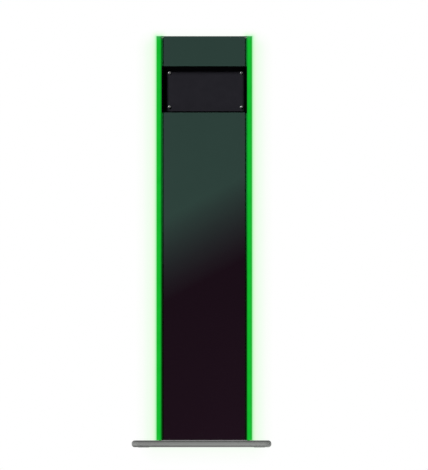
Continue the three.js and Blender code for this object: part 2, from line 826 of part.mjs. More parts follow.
function serviceDoor() {
  const middle = (DOOR_BOTTOM + DOOR_TOP) / 2;
  const outline = roundedRectangle(DOOR_HALF_WIDTH, (DOOR_TOP - DOOR_BOTTOM) / 2, 3, 0, middle);
  const plate = prismY(outline, OUTER_FACE, DOOR_OUTER, 3);
  const slot = (z) => prismY(roundedRectangle(38, 1.6, 1.5, 0, z), BACK - 5, BACK + 5, 3);
  const vents = DOOR_SLOTS.flatMap((i) => [
    slot(DOOR_BOTTOM + 30 + i * SLOT_PITCH),
    slot(DOOR_TOP - 30 - i * SLOT_PITCH),
  ]);
  const lockHole = barY(6.3, LOCK_X, LOCK_Z, BACK - 5, BACK + 5);
  return part("service_door", cut(plate, ...vents, lockHole), blackPaint);
}

// A leaf with its knuckles at the given heights above the hinge's middle.
function hingeLeaf(edgeX, y0, z, halfLength, knuckles) {
  const plate = block(
    Math.min(edgeX, HINGE_X),
    Math.max(edgeX, HINGE_X),
    y0,
    y0 + HINGE_LEAF,
    z - halfLength,
    z + halfLength,
  );
  const half = KNUCKLE_LENGTH / 2 - GAP / 2;
  const rolls = knuckles.map((k) =>
    barZ(KNUCKLE_RADIUS, HINGE_X, HINGE_Y, z + k - half, z + k + half),
  );
  const bore = barZ(HINGE_PIN_RADIUS + RUNNING, HINGE_X, HINGE_Y, z - 40, z + 40);
  return { plate, rolls, bore };
}

function hinges() {
  const names = ["lower", "upper"];
  const fixed = [];
  const moving = [];
  HINGE_Z.forEach((z, i) => {
    const outer = hingeLeaf(-93.5, OUTER_FACE, z, KNUCKLE_LENGTH * 1.5 - GAP / 2, [
      -KNUCKLE_LENGTH,
      KNUCKLE_LENGTH,
    ]);
    // The fixed leaf is notched where the door's knuckle turns.
    const notch = block(
      HINGE_X - KNUCKLE_RADIUS - GAP,
      HINGE_X + 5,
      BACK - 1,
      BACK + 12,
      z - KNUCKLE_LENGTH / 2 - GAP / 2,
      z + KNUCKLE_LENGTH / 2 + GAP / 2,
    );
    const outerLeaf = cut(cut(outer.plate, notch), outer.bore);
    fixed.push(
      part(`hinge_leaf_fixed_${names[i]}`, cut(join(outerLeaf, ...outer.rolls), outer.bore), zinc),
    );
    const inner = hingeLeaf(-62, DOOR_OUTER + GAP, z, KNUCKLE_LENGTH / 2 - GAP / 2, [0]);
    const wing = block(
      -74,
      -62,
      DOOR_OUTER + GAP,
      DOOR_OUTER + GAP + HINGE_LEAF,
      z - KNUCKLE_LENGTH * 1.5,
      z + KNUCKLE_LENGTH * 1.5,
    );
    moving.push(
      part(
        `hinge_leaf_door_${names[i]}`,
        cut(join(inner.plate, wing, ...inner.rolls), inner.bore),
        zinc,
      ),
    );
    const reach = KNUCKLE_LENGTH * 1.5 + 0.6;
    fixed.push(
      part(
        `hinge_pin_${names[i]}`,
        barZ(HINGE_PIN_RADIUS, HINGE_X, HINGE_Y, z - reach, z + reach),
        stainless,
      ),
    );
  });
  return { fixed, moving };
}

const LOCK_FACE = DOOR_OUTER + GAP + 2;
const LOCK_REAR = 23;
const CAM_FRONT = LOCK_REAR - GAP - 2;
const PLUG_RADIUS = 4;

function lockBody() {
  const shell = join(
    barY(8, LOCK_X, LOCK_Z, DOOR_OUTER + GAP, LOCK_FACE),
    barY(6, LOCK_X, LOCK_Z, LOCK_REAR, DOOR_OUTER + GAP + 1),
  );
  const bore = barY(PLUG_RADIUS + RUNNING, LOCK_X, LOCK_Z, BACK - 20, BACK + 20);
  return part("lock_body", cut(shell, bore), zinc);
}

function lockNut() {
  const nut = hexagon(17, LOCK_X, LOCK_Z, BACK - 2.5, BACK);
  return part("lock_nut", cut(nut, barY(6.3, LOCK_X, LOCK_Z, BACK - 9, BACK + 9)), zinc);
}

// The cylinder that the key turns, with a square tail for the cam.
function lockCylinder() {
  const plug = barY(PLUG_RADIUS, LOCK_X, LOCK_Z, LOCK_REAR, LOCK_FACE + 0.4);
  const tail = block(
    LOCK_X - 2.5,
    LOCK_X + 2.5,
    CAM_FRONT - 2,
    LOCK_REAR + 1,
    LOCK_Z - 2.5,
    LOCK_Z + 2.5,
  );
  const keyway = block(
    LOCK_X - 0.6,
    LOCK_X + 0.6,
    LOCK_FACE - 5,
    LOCK_FACE + 1,
    LOCK_Z - 2.8,
    LOCK_Z + 2.8,
  );
  return part("lock_cylinder", cut(join(plug, tail), keyway), stainless);
}

// The cam points up, clear of the keeper, when the lock is open; a quarter turn locks it.
function lockCam() {
  const outline = new THREE.Shape()
    .moveTo(LOCK_X + 6, LOCK_Z)
    .lineTo(LOCK_X + 5, LOCK_Z + CAM_REACH)
    .lineTo(LOCK_X - 5, LOCK_Z + CAM_REACH)
    .lineTo(LOCK_X - 6, LOCK_Z)
    .absarc(LOCK_X, LOCK_Z, 6, Math.PI, 2 * Math.PI);
  const square = block(
    LOCK_X - 2.8,
    LOCK_X + 2.8,
    0,
    BACK,
    LOCK_Z - 2.8,
    LOCK_Z + 2.8,
  );
  return part("lock_cam", cut(prismY(outline, CAM_FRONT, CAM_FRONT + 2), square), zinc);
}

// A block riveted inside the back wall, which the locked cam lies behind.
function lockKeeper() {
  const near = DOOR_HALF_WIDTH - DOOR_LAP + 1;
  const far = near + 10;
  const shape = block(near, far, CAM_FRONT + 2 + GAP, BACK - WALL - GAP, LOCK_Z - 12, LOCK_Z + 12);
  return part("lock_keeper", shape, zinc);
}

// ---------------------------------------------------------------- connector plate

function ioPlate() {
  const outline = roundedRectangle(IO_HALF_WIDTH, IO_HALF_HEIGHT, 3, 0, IO_Z);
  const plate = prismY(outline, OUTER_FACE, IO_OUTER, 3);
  const through = [BACK - 5, BACK + 5];
  const holes = [
    barY(6.1, INLET_X, IO_Z, ...through),
    block(SWITCH_X - 6.7, SWITCH_X + 6.7, ...through, IO_Z - 9.7, IO_Z + 9.7),
    barY(4.9, BUTTON_X, IO_Z, ...through),
    block(SOCKET_X - 8.3, SOCKET_X + 8.3, ...through, IO_Z - 7.1, IO_Z + 7.1),
  ];
  return part("io_plate", cut(plate, ...holes), blackPaint);
}

const ON_PLATE = IO_OUTER + GAP; // flanges of the fittings rest here

// A barrel-type direct-current inlet: a threaded body with a centre pin in its bore.
function powerInlet() {
  const face = ON_PLATE + 1.6;
  const profile = [
    [0, INLET_REAR],
    [5.8, INLET_REAR],
    [5.8, ON_PLATE],
    [7.4, ON_PLATE],
    [7.4, face],
    [3.2, face],
    [3.2, face - 10],
    [1.05, face - 10],
    [1.05, face - 1.5],
    [0, face - 1],
  ];
  const body = part("power_inlet", turned(profile, 16), blackPlastic);
  body.position.set(INLET_X, 0, IO_Z);
  return body;
}

function powerInletNut() {
  const nut = hexagon(15, INLET_X, IO_Z, BACK - 2.8, BACK - GAP);
  return part("power_inlet_nut", cut(nut, barY(6.1, INLET_X, IO_Z, BACK - 9, BACK + 9)), zinc);
}

const ROCKER_Y = ON_PLATE - 3.1; // the rocker's pivot
const TRUNNION_RADIUS = 0.9;

function switchBody() {
  const bezel = prismY(roundedRectangle(7.6, 10.6, 1, SWITCH_X, IO_Z), ON_PLATE, ON_PLATE + 2, 3);
  const [left, right, top, bottom] = [SWITCH_X - 6.4, SWITCH_X + 6.4, IO_Z + 9.4, IO_Z - 9.4];
  const box = block(left, right, SWITCH_REAR, ON_PLATE + 1, bottom, top);
  const well = block(left + 1.2, right - 1.2, 22, BACK + 9, bottom + 0.7, top - 0.7);
  const pivot = barX(TRUNNION_RADIUS + RUNNING, ROCKER_Y, IO_Z, left - 1, right + 1, 24);
  return part("power_switch_body", cut(join(bezel, box), well, pivot), blackPlastic);
}

// The rocker in its own frame: the pivot at the origin, +Y outwards.
function switchRocker() {
  const side = new THREE.Shape()
    .moveTo(-1.5, 0)
    .lineTo(2.6, -7.4)
    .lineTo(6.4, -7.2)
    .lineTo(5, 0)
    .lineTo(6.4, 7.2)
    .lineTo(2.6, 7.4);
  const rocker = join(prismX(side, -4.8, 4.8), barX(TRUNNION_RADIUS, 0, 0, -5.9, 5.9));
  const mesh = part("power_switch_rocker", rocker, blackPlastic);
  mesh.position.set(SWITCH_X, ROCKER_Y, IO_Z);
  mesh.rotation.x = SWITCH_TILT;
  return mesh;
}

const BUTTON_RADIUS = 3;

function modeButtonBody() {
  const ring = barY(5.6, BUTTON_X, IO_Z, ON_PLATE, ON_PLATE + 1.2);
  const barrel = barY(4.6, BUTTON_X, IO_Z, BUTTON_REAR, ON_PLATE + 0.5);
  const bore = barY(BUTTON_RADIUS + RUNNING, BUTTON_X, IO_Z, 23, BACK + 9);
  return part("mode_button_body", cut(join(ring, barrel), bore), blackPlastic);
}

function modeButton() {
  const plunger = barY(BUTTON_RADIUS, BUTTON_X, IO_Z, 26, ON_PLATE + 2.6);
  return part("mode_button", plunger, paintedSteel);
}

function dataSocket() {
  const [left, right] = [SOCKET_X - 8, SOCKET_X + 8];
  const bezel = prismY(roundedRectangle(9.6, 8.4, 1, SOCKET_X, IO_Z), ON_PLATE, ON_PLATE + 1.4, 3);
  const body = block(left, right, SOCKET_REAR, ON_PLATE + 0.5, IO_Z - 6.8, IO_Z + 6.8);
  const mouth = block(left + 2, right - 2, 18, BACK + 9, IO_Z - 3.4, IO_Z + 4.6);
  const latch = block(SOCKET_X - 3.1, SOCKET_X + 3.1, 18, BACK + 9, IO_Z - 5.2, IO_Z - 3);
  return part("data_socket", cut(join(bezel, body), mouth, latch), blackPlastic);
}

// ---------------------------------------------------------------- the whole object

const display = group(
  displayTray(),
  displayWindow(),
  displayScrews(),
  displayModule(),
  displayBoard(),
);
display.position.z = WINDOW_MIDDLE;

const { fixed: hingesOnColumn, moving: hingesOnDoor } = hinges();

const column = group(
  columnExtrusion(),
  frontPanels(),
  panelTapes(),
  lightDiffusers(),
  ledStrips(),
  topCap(),
  topCapScrews(),
  display,
  equipmentPlate(),
  controllerBoard(),
  powerLead(),
  dataLead(),
  barLeads(),
  displayRibbon(),
  hingesOnColumn,
  lockKeeper(),
  ioPlate(),
  powerInlet(),
  powerInletNut(),
  switchBody(),
  switchRocker(),
  modeButtonBody(),
  modeButton(),
  dataSocket(),
  group(serviceDoor(), hingesOnDoor, lockBody(), lockNut(), lockCylinder(), lockCam()),
);
column.position.set(COLUMN_SHIFT, 0, BASE_TOP);

const poleDisplay = group(basePlate(), basePads(), baseBolts(), column);
poleDisplay.name = "customer_pole_display";

export default poleDisplay;
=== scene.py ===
"""Looks of a counter-standing customer pole display.

A slim black column stands on a grey powder-coated plate, with a lit green bar down each front
edge and a recessed window near the top. The service door, its hinges and lock and the
connector plate are at the back. Units are metres, +Z is up and the front faces -Y.
"""

import json
import math

import bmesh
import bpy
from mathutils import Matrix, Vector


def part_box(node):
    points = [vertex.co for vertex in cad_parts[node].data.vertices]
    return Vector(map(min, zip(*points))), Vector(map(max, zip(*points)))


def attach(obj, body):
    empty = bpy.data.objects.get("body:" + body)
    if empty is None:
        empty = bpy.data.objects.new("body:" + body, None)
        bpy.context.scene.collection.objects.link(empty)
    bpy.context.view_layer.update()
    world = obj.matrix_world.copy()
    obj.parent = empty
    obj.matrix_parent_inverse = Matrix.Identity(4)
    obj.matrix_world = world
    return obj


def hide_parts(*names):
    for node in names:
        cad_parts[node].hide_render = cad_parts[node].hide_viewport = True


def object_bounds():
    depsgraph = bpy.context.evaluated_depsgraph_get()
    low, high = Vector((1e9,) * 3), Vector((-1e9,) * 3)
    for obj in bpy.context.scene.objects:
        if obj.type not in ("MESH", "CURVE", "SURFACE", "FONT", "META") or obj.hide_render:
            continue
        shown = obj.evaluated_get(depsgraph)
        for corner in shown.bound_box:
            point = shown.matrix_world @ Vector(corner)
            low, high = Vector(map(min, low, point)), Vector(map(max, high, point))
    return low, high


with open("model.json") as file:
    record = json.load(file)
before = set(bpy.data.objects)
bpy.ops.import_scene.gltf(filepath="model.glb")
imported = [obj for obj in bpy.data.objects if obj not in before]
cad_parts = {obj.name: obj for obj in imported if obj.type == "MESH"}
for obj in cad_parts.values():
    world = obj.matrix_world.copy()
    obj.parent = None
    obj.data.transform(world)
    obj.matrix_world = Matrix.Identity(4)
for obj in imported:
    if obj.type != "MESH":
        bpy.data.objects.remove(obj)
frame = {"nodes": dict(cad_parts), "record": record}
CAD_LOW, CAD_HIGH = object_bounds()
MM = 0.001
TAU = 2 * math.pi
SHARP_ANGLE = math.radians(32)  # an edge steeper than this stays crisp
WELD_DISTANCE = 1e-6


# ---------------------------------------------------------------- node graphs


class Graph:
    """Adds nodes to a tree. An input is given a plain value or another node's output."""

    def __init__(self, tree):
        self.tree = tree
        self.tree.nodes.clear()

    def add(self, kind, inputs=None, **settings):
        node = self.tree.nodes.new(kind)
        for name, value in settings.items():
            setattr(node, name, value)
        for key, value in (inputs or {}).items():
            if isinstance(value, bpy.types.NodeSocket):
                self.tree.links.new(value, node.inputs[key])
            else:
                node.inputs[key].default_value = value
        return node

    def place(self):
        return self.add("ShaderNodeTexCoord").outputs["Object"]

    def stretched(self, scale):
        node = self.add("ShaderNodeMapping", {"Vector": self.place(), "Scale": scale})
        return node.outputs["Vector"]

    def noise(self, scale, detail=2.0, stretch=(1, 1, 1), roughness=0.5):
        grain = {"Scale": scale, "Detail": detail, "Roughness": roughness}
        node = self.add("ShaderNodeTexNoise", {"Vector": self.stretched(stretch), **grain})
        return node.outputs["Fac"]

    def cells(self, scale):
        node = self.add("ShaderNodeTexVoronoi", {"Vector": self.place(), "Scale": scale})
        return node.outputs["Color"]

    def math(self, operation, *values):
        node = self.add("ShaderNodeMath", dict(enumerate(values)), operation=operation)
        return node.outputs[0]

    def axes(self):
        return self.add("ShaderNodeSeparateXYZ", {0: self.place()}).outputs

    def span(self, value, low, high, to_low=0.0, to_high=1.0):
        """value's range low..high spread over to_low..to_high, and held at its ends."""
        limits = {"From Min": low, "From Max": high, "To Min": to_low, "To Max": to_high}
        return self.add("ShaderNodeMapRange", {"Value": value, **limits}).outputs[0]

    def mix(self, factor, first, second, blend="MIX"):
        node = self.add("ShaderNodeMix", data_type="RGBA", blend_type=blend)
        for name, value in (("Factor", factor), ("A", first), ("B", second)):
            socket = next(s for s in node.inputs if s.name == name and s.enabled)
            if isinstance(value, bpy.types.NodeSocket):
                self.tree.links.new(value, socket)
            else:
                socket.default_value = value
        return next(s for s in node.outputs if s.enabled)

    def ramp(self, factor, stops):
        node = self.add("ShaderNodeValToRGB", {"Fac": factor})
        elements = node.color_ramp.elements
        while len(elements) < len(stops):
            elements.new(0.5)
        for element, (position, colour) in zip(elements, stops):
            element.position = position
            element.color = colour
        return node.outputs["Color"]

    def bump(self, height, strength, distance):
        inputs = {"Height": height, "Strength": strength, "Distance": distance}
        return self.add("ShaderNodeBump", inputs).outputs["Normal"]

    def edges(self, radius):
        """1 along sharp edges and 0 on flat faces."""
        rounded = self.add("ShaderNodeBevel", {"Radius": radius}, samples=4).outputs[0]
        flat = self.add("ShaderNodeNewGeometry").outputs["Normal"]
        dot = self.add("ShaderNodeVectorMath", {0: rounded, 1: flat}, operation="DOT_PRODUCT")
        return self.span(dot.outputs["Value"], 0.995, 0.80)


def rgba(colour):
    return (*colour, 1.0)


def tone(red, green, blue):
    """A linear colour from the 0..255 numbers of a display."""

    def linear(value):
        value /= 255
        return value / 12.92 if value <= 0.04045 else ((value + 0.055) / 1.055) ** 2.4

    return (linear(red), linear(green), linear(blue), 1.0)


def scaled(colour, factor):
    return rgba([min(1.0, c * factor) for c in colour])


def principled(name, build, **uniform):
    """A material with one Principled shader. build(graph) returns its linked inputs."""
    made = bpy.data.materials.new(name)
    made.use_nodes = True
    graph = Graph(made.node_tree)
    inputs = {key.replace("_", " "): value for key, value in uniform.items()}
    inputs.update(build(graph))
    shader = graph.add("ShaderNodeBsdfPrincipled", inputs)
    graph.add("ShaderNodeOutputMaterial", {"Surface": shader.outputs[0]})
    return made


def coloured(name, colour, roughness, *, vary=0.15, cloud=25.0, grain=900.0, depth=0.02,
             worn=None, **uniform):
    """A surface of one colour that varies in tone, with grain in its bump and roughness.

    roughness is its (smoothest, roughest) value and depth the height of its grain in mm.
    worn is the colour that shows along its edges, if they are rubbed.
    """

    def build(graph):
        clouds = graph.noise(cloud, 4.0)
        shade = graph.ramp(
            clouds, [(0.3, scaled(colour, 1 - vary)), (0.7, scaled(colour, 1 + vary))]
        )
        fine = graph.noise(grain, 3.0)
        if worn is not None:
            patchy = graph.math("MULTIPLY", graph.edges(0.4 * MM), graph.noise(140.0, 3.0))
            shade = graph.mix(graph.span(patchy, 0.35, 0.75), shade, rgba(worn))
        both = graph.math("ADD", clouds, fine)
        return {
            "Base Color": shade,
            "Roughness": graph.span(both, 0.7, 1.3, *roughness),
            "Normal": graph.bump(fine, 1.0, depth * MM),
        }

    return principled(name, build, **uniform)


# ---------------------------------------------------------------- materials

ANODISED_WORN = (0.16, 0.16, 0.165)
ZINC_SHADES = ((0.36, 0.37, 0.385), (0.52, 0.53, 0.54))

# The front panels' painted reflection: teal above, plum below, meeting along a slope.
PANEL_TEAL = (45, 64, 58)
PANEL_PLUM = (24, 13, 21)
FADE_MIDDLE = 0.4155  # height at which the panel's painted reflection turns from plum to teal, on the column's middle
FADE_HEIGHT = 0.168
FADE_LOW = FADE_MIDDLE - FADE_HEIGHT / 2
FADE_HIGH = FADE_MIDDLE + FADE_HEIGHT / 2
FADE_SLOPE = 0.543  # the fade climbs this much for each metre to the right
PANEL_INSIDE = (0.008, 0.008, 0.009)

CLEAR_HALF_WIDTH = 0.0755  # of the window, inside its border, which is partly print and partly painted shade
BORDER_FADE = 2.4 * MM  # the border's edge is soft for this far to either side
WINDOW_BORDER_AND_SHADE = (0.0006, 0.0007, 0.0008)

# Shares of the base plate's height, and how light its paint is there: painted light and shade round
# the rim, pale at its foot and dark under the top.
BASE_PAINTED_SHADES = (
    (0.00, 0.60), (0.12, 0.52), (0.22, 0.30), (0.49, 0.184), (0.79, 0.084), (0.93, 0.032),
    (0.99, 0.034), (1.00, 0.110),
)

CHIP_PITCH = 0.020
CHIP_Y = -0.019  # the middle of every light chip, front to back
CHIP_REACH_Y = 0.0019  # its yellow face reaches this far to either side
CHIP_REACH_Z = 0.0021
RIBBON_CONDUCTORS = 20

BAR_GREEN = (0.0040, 0.455, 0.022)
BAR_PALE = (0.0400, 0.340, 0.085)  # the closed upper end of a bar
BAR_END = 9 * MM
BAR_SHIFT = 1.5 * MM  # the right bar's shading lies this much nearer the column's middle
# Shares of a bar's width from its inner edge, and how bright it is there.
BAR_LEVELS = ((0.0, 0.45), (0.18, 0.70), (0.34, 0.94), (0.50, 1.0), (0.86, 1.0), (1.0, 0.80))
GROOVE_LOW = (0.0003, 0.0360, 0.0012)  # painted light: the bars' green light on the metal beside the panel
GROOVE_HIGH = (0.0030, 0.1500, 0.0220)
GROOVE_DEPTH = 3.3 * MM  # how far behind the column's front that light reaches

COLUMN_LOW, COLUMN_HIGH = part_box("column_extrusion")
COLUMN_X = (COLUMN_LOW.x + COLUMN_HIGH.x) / 2
BASE_LOW, BASE_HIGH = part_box("base_plate")
PANEL_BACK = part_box("front_panel_lower")[1].y


def panel_gloss():
    """Gloss with a painted reflection that fades from plum up to teal, on a plain dark back."""

    def build(graph):
        x, y, z = graph.axes()
        slope = graph.math("MULTIPLY", graph.math("SUBTRACT", x, COLUMN_X), FADE_SLOPE)
        height = graph.math("SUBTRACT", z, slope)
        stops = [
            (t, tone(*(a + (b - a) * t for a, b in zip(PANEL_PLUM, PANEL_TEAL))))
            for t in (0.0, 0.2, 0.4, 0.6, 0.8, 1.0)
        ]
        # painted reflection, fading along the slope
        tint = graph.ramp(graph.span(height, FADE_LOW, FADE_HIGH), stops)
        cloudy = graph.ramp(
            graph.noise(14.0, 3.0), [(0.3, rgba((0.97,) * 3)), (0.7, rgba((1.0,) * 3))]
        )
        smudge = graph.noise(38.0, 5.0, (1, 1, 0.6), 0.6)
        inside = graph.math("GREATER_THAN", y, PANEL_BACK - 0.1 * MM)
        front = graph.mix(1.0, tint, cloudy, "MULTIPLY")
        return {
            "Base Color": graph.mix(inside, front, rgba(PANEL_INSIDE)),
            "Roughness": graph.span(smudge, 0.35, 0.75, 0.06, 0.14),
            "Normal": graph.bump(smudge, 0.1, 0.01 * MM),
        }

    return principled("panel_gloss", build, Specular_IOR_Level=0.35)


def window_smoked():
    """Smoked acrylic with a soft black border round the display behind it, partly print and partly
    painted shade of the recess.
    """

    def build(graph):
        low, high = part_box("display_module")
        middle = (low.x + high.x) / 2
        x = graph.axes()[0]
        aside = graph.math("ABSOLUTE", graph.math("SUBTRACT", x, middle))
        # the border is partly print and partly painted shade, widest on the left
        border = graph.span(
            aside, CLEAR_HALF_WIDTH - BORDER_FADE, CLEAR_HALF_WIDTH + BORDER_FADE
        )
        smudge = graph.noise(60.0, 5.0, roughness=0.6)
        clear = graph.ramp(
            smudge, [(0.3, rgba((0.0156, 0.0150, 0.0190))), (0.7, rgba((0.0178, 0.0170, 0.0215)))]
        )
        return {
            "Base Color": graph.mix(border, clear, rgba(WINDOW_BORDER_AND_SHADE)),
            "Roughness": graph.span(smudge, 0.3, 0.8, 0.06, 0.18),
            "Normal": graph.bump(smudge, 0.1, 0.01 * MM),
        }

    return principled("window_smoked", build, Specular_IOR_Level=0.3)


def base_paint():
    """Grey powder coat with painted light and shade: palest at the foot of the rim and darkest just
    under the plate's top.
    """

    def build(graph):
        z = graph.axes()[2]
        # painted light and shade: the grey follows height up the rim
        shade = graph.ramp(
            graph.span(z, BASE_LOW.z, BASE_HIGH.z),
            [(share, rgba((grey, 1.027 * grey, 0.988 * grey))) for share, grey in BASE_PAINTED_SHADES],
        )
        speckle = graph.noise(1500.0, 2.0)
        fleck = graph.ramp(speckle, [(0.35, rgba((0.90,) * 3)), (0.7, rgba((1.0,) * 3))])
        peel = graph.math("ADD", graph.noise(420.0, 2.0), graph.math("MULTIPLY", speckle, 0.3))
        return {
            "Base Color": graph.mix(1.0, shade, fleck, "MULTIPLY"),
            "Roughness": graph.span(graph.noise(30.0, 4.0), 0.3, 0.7, 0.50, 0.66),
            "Normal": graph.bump(peel, 0.7, 0.06 * MM),
        }

    return principled("base_paint", build, Specular_IOR_Level=0.08)


def lit_opal():
    """The lit opal channel: dimmer toward its edges, with a trace of the chips behind it."""

    def build(graph):
        low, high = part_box("light_diffuser_right")
        x, _, z = graph.axes()
        ripple = graph.math("COSINE", graph.math("MULTIPLY", z, TAU / CHIP_PITCH))
        cloud = graph.noise(45.0, 3.0)
        level = graph.math(
            "ADD",
            graph.math("MULTIPLY", ripple, 0.012),
            graph.span(cloud, 0.3, 0.7, 0.965, 1.02),
        )
        aside = graph.math("ABSOLUTE", graph.math("SUBTRACT", x, COLUMN_X))
        shift = graph.math("MULTIPLY", graph.math("GREATER_THAN", x, COLUMN_X), BAR_SHIFT)
        across = graph.math("SUBTRACT", graph.math("ADD", aside, shift), low.x - COLUMN_X)
        dimmed = graph.ramp(
            graph.math("DIVIDE", across, high.x - low.x),
            [(share, rgba((bright,) * 3)) for share, bright in BAR_LEVELS],
        )
        ends = graph.span(z, high.z - BAR_END, high.z)
        lit = graph.mix(ends, rgba(BAR_GREEN), rgba(BAR_PALE))
        grey = graph.add("ShaderNodeCombineColor", {"Red": level, "Green": level, "Blue": level})
        lit = graph.mix(1.0, lit, graph.mix(1.0, dimmed, grey.outputs[0], "MULTIPLY"), "MULTIPLY")
        fine = graph.noise(1400.0, 2.0)
        return {
            "Base Color": graph.ramp(
                cloud, [(0.3, rgba((0.001, 0.036, 0.005))), (0.7, rgba((0.002, 0.044, 0.007)))]
            ),
            "Emission Color": lit,
            "Roughness": graph.span(fine, 0.3, 0.7, 0.40, 0.52),
            "Normal": graph.bump(fine, 0.4, 0.01 * MM),
        }

    return principled("lit_opal", build, Emission_Strength=1.0, Specular_IOR_Level=0.04)


def plated_steel():
    """Zinc plate with a faint spangle and fine scratches."""

    def build(graph):
        grey = graph.add("ShaderNodeSeparateColor", {0: graph.cells(260.0)}).outputs[0]
        cloud = graph.noise(40.0, 4.0)
        blend = graph.math("ADD", graph.math("MULTIPLY", grey, 0.35),
                           graph.math("MULTIPLY", cloud, 0.65))
        scratch = graph.noise(600.0, 3.0, (1, 1, 0.06))
        return {
            "Base Color": graph.ramp(
                blend, [(0.3, rgba(ZINC_SHADES[0])), (0.7, rgba(ZINC_SHADES[1]))]
            ),
            "Roughness": graph.span(blend, 0.3, 0.7, 0.30, 0.48),
            "Normal": graph.bump(scratch, 0.5, 0.015 * MM),
        }

    return principled("plated_steel", build, Metallic=0.9)


def anodised_black():
    """Satin black anodising over an extrusion's fine die lines, with the bars' green light painted
    on it beside the panel.
    """

    def build(graph):
        lines = graph.noise(1100.0, 2.0, (1, 1, 0.01))
        broad = graph.noise(160.0, 3.0, (1, 1, 0.02))
        shade = graph.ramp(
            broad, [(0.3, rgba((0.0092, 0.0098, 0.0107))), (0.7, rgba((0.0116, 0.0122, 0.0132)))]
        )
        rub = graph.math("MULTIPLY", graph.edges(0.35 * MM), graph.noise(110.0, 4.0))
        worn = graph.mix(graph.span(rub, 0.45, 0.8), shade, rgba(ANODISED_WORN))
        _, y, z = graph.axes()
        # painted light of the bars near the column's front, greener higher up
        groove = graph.math("LESS_THAN", y, COLUMN_LOW.y + GROOVE_DEPTH)
        painted_bar_light = graph.mix(
            graph.span(z, FADE_LOW, FADE_HIGH), rgba(GROOVE_LOW), rgba(GROOVE_HIGH)
        )
        return {
            "Base Color": graph.mix(groove, worn, painted_bar_light),
            "Roughness": graph.span(broad, 0.3, 0.7, 0.42, 0.48),
            "Normal": graph.bump(lines, 0.6, 0.02 * MM),
        }

    return principled("anodised_black", build, Specular_IOR_Level=0.18)


def ribbon_jacket():
    """Grey flat cable: a ridge for each conductor and a red first one."""

    def build(graph):
        low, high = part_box("display_ribbon")
        pitch = (high.x - low.x) / RIBBON_CONDUCTORS
        x = graph.axes()[0]
        phase = graph.math("MULTIPLY", graph.math("SUBTRACT", x, low.x), TAU / pitch)
        ridge = graph.math("COSINE", phase)
        grey = graph.ramp(
            graph.span(ridge, -1.0, 1.0),
            [(0.0, rgba((0.30, 0.31, 0.33))), (1.0, rgba((0.14, 0.145, 0.155)))],
        )
        first = graph.math("LESS_THAN", x, low.x + pitch)
        return {
            "Base Color": graph.mix(first, grey, rgba((0.42, 0.03, 0.02))),
            "Roughness": graph.span(graph.noise(200.0), 0.3, 0.7, 0.38, 0.52),
            "Normal": graph.bump(ridge, 0.8, -0.15 * MM),
        }

    return principled("ribbon_jacket", build, Specular_IOR_Level=0.4)


def circuit_board():
    """Green solder mask with runs of copper under it."""

    def build(graph):
        def runs(stretch):
            lanes = graph.noise(240.0, 0.0, stretch)
            return graph.span(graph.math("PINGPONG", graph.math("MULTIPLY", lanes, 9.0), 0.5),
                              0.16, 0.22)

        across, along = runs((1, 1, 0.05)), runs((0.05, 1, 1))
        regions = graph.math("GREATER_THAN", graph.noise(55.0, 1.0), 0.5)
        pattern = graph.mix(regions, rgba((0,) * 3), rgba((1,) * 3))
        traces = graph.mix(pattern, across, along)
        return {
            "Base Color": graph.mix(
                traces, rgba((0.020, 0.120, 0.045)), rgba((0.007, 0.052, 0.020))
            ),
            "Roughness": graph.span(graph.noise(180.0), 0.3, 0.7, 0.24, 0.36),
            "Normal": graph.bump(traces, 0.5, -0.03 * MM),
        }

    return principled("circuit_board", build, Specular_IOR_Level=0.5)


def flex_board():
    """White flexible tape with yellow light chips along it."""

    def build(graph):
        y, z = graph.axes()[1], graph.axes()[2]
        off_chip = graph.math("PINGPONG", graph.math("SUBTRACT", z, COLUMN_LOW.z), CHIP_PITCH / 2)
        aside = graph.math("ABSOLUTE", graph.math("SUBTRACT", y, CHIP_Y))
        near = graph.math("LESS_THAN", aside, CHIP_REACH_Y)
        chip = graph.math("MULTIPLY", graph.math("LESS_THAN", off_chip, CHIP_REACH_Z), near)
        white = graph.ramp(
            graph.noise(90.0, 3.0), [(0.3, rgba((0.66, 0.66, 0.63))), (0.7, rgba((0.78,) * 3))]
        )
        return {
            "Base Color": graph.mix(chip, white, rgba((0.62, 0.50, 0.08))),
            "Roughness": graph.span(graph.noise(300.0), 0.3, 0.7, 0.36, 0.5),
            "Normal": graph.bump(graph.noise(500.0), 0.4, 0.02 * MM),
        }

    return principled("flex_board", build)


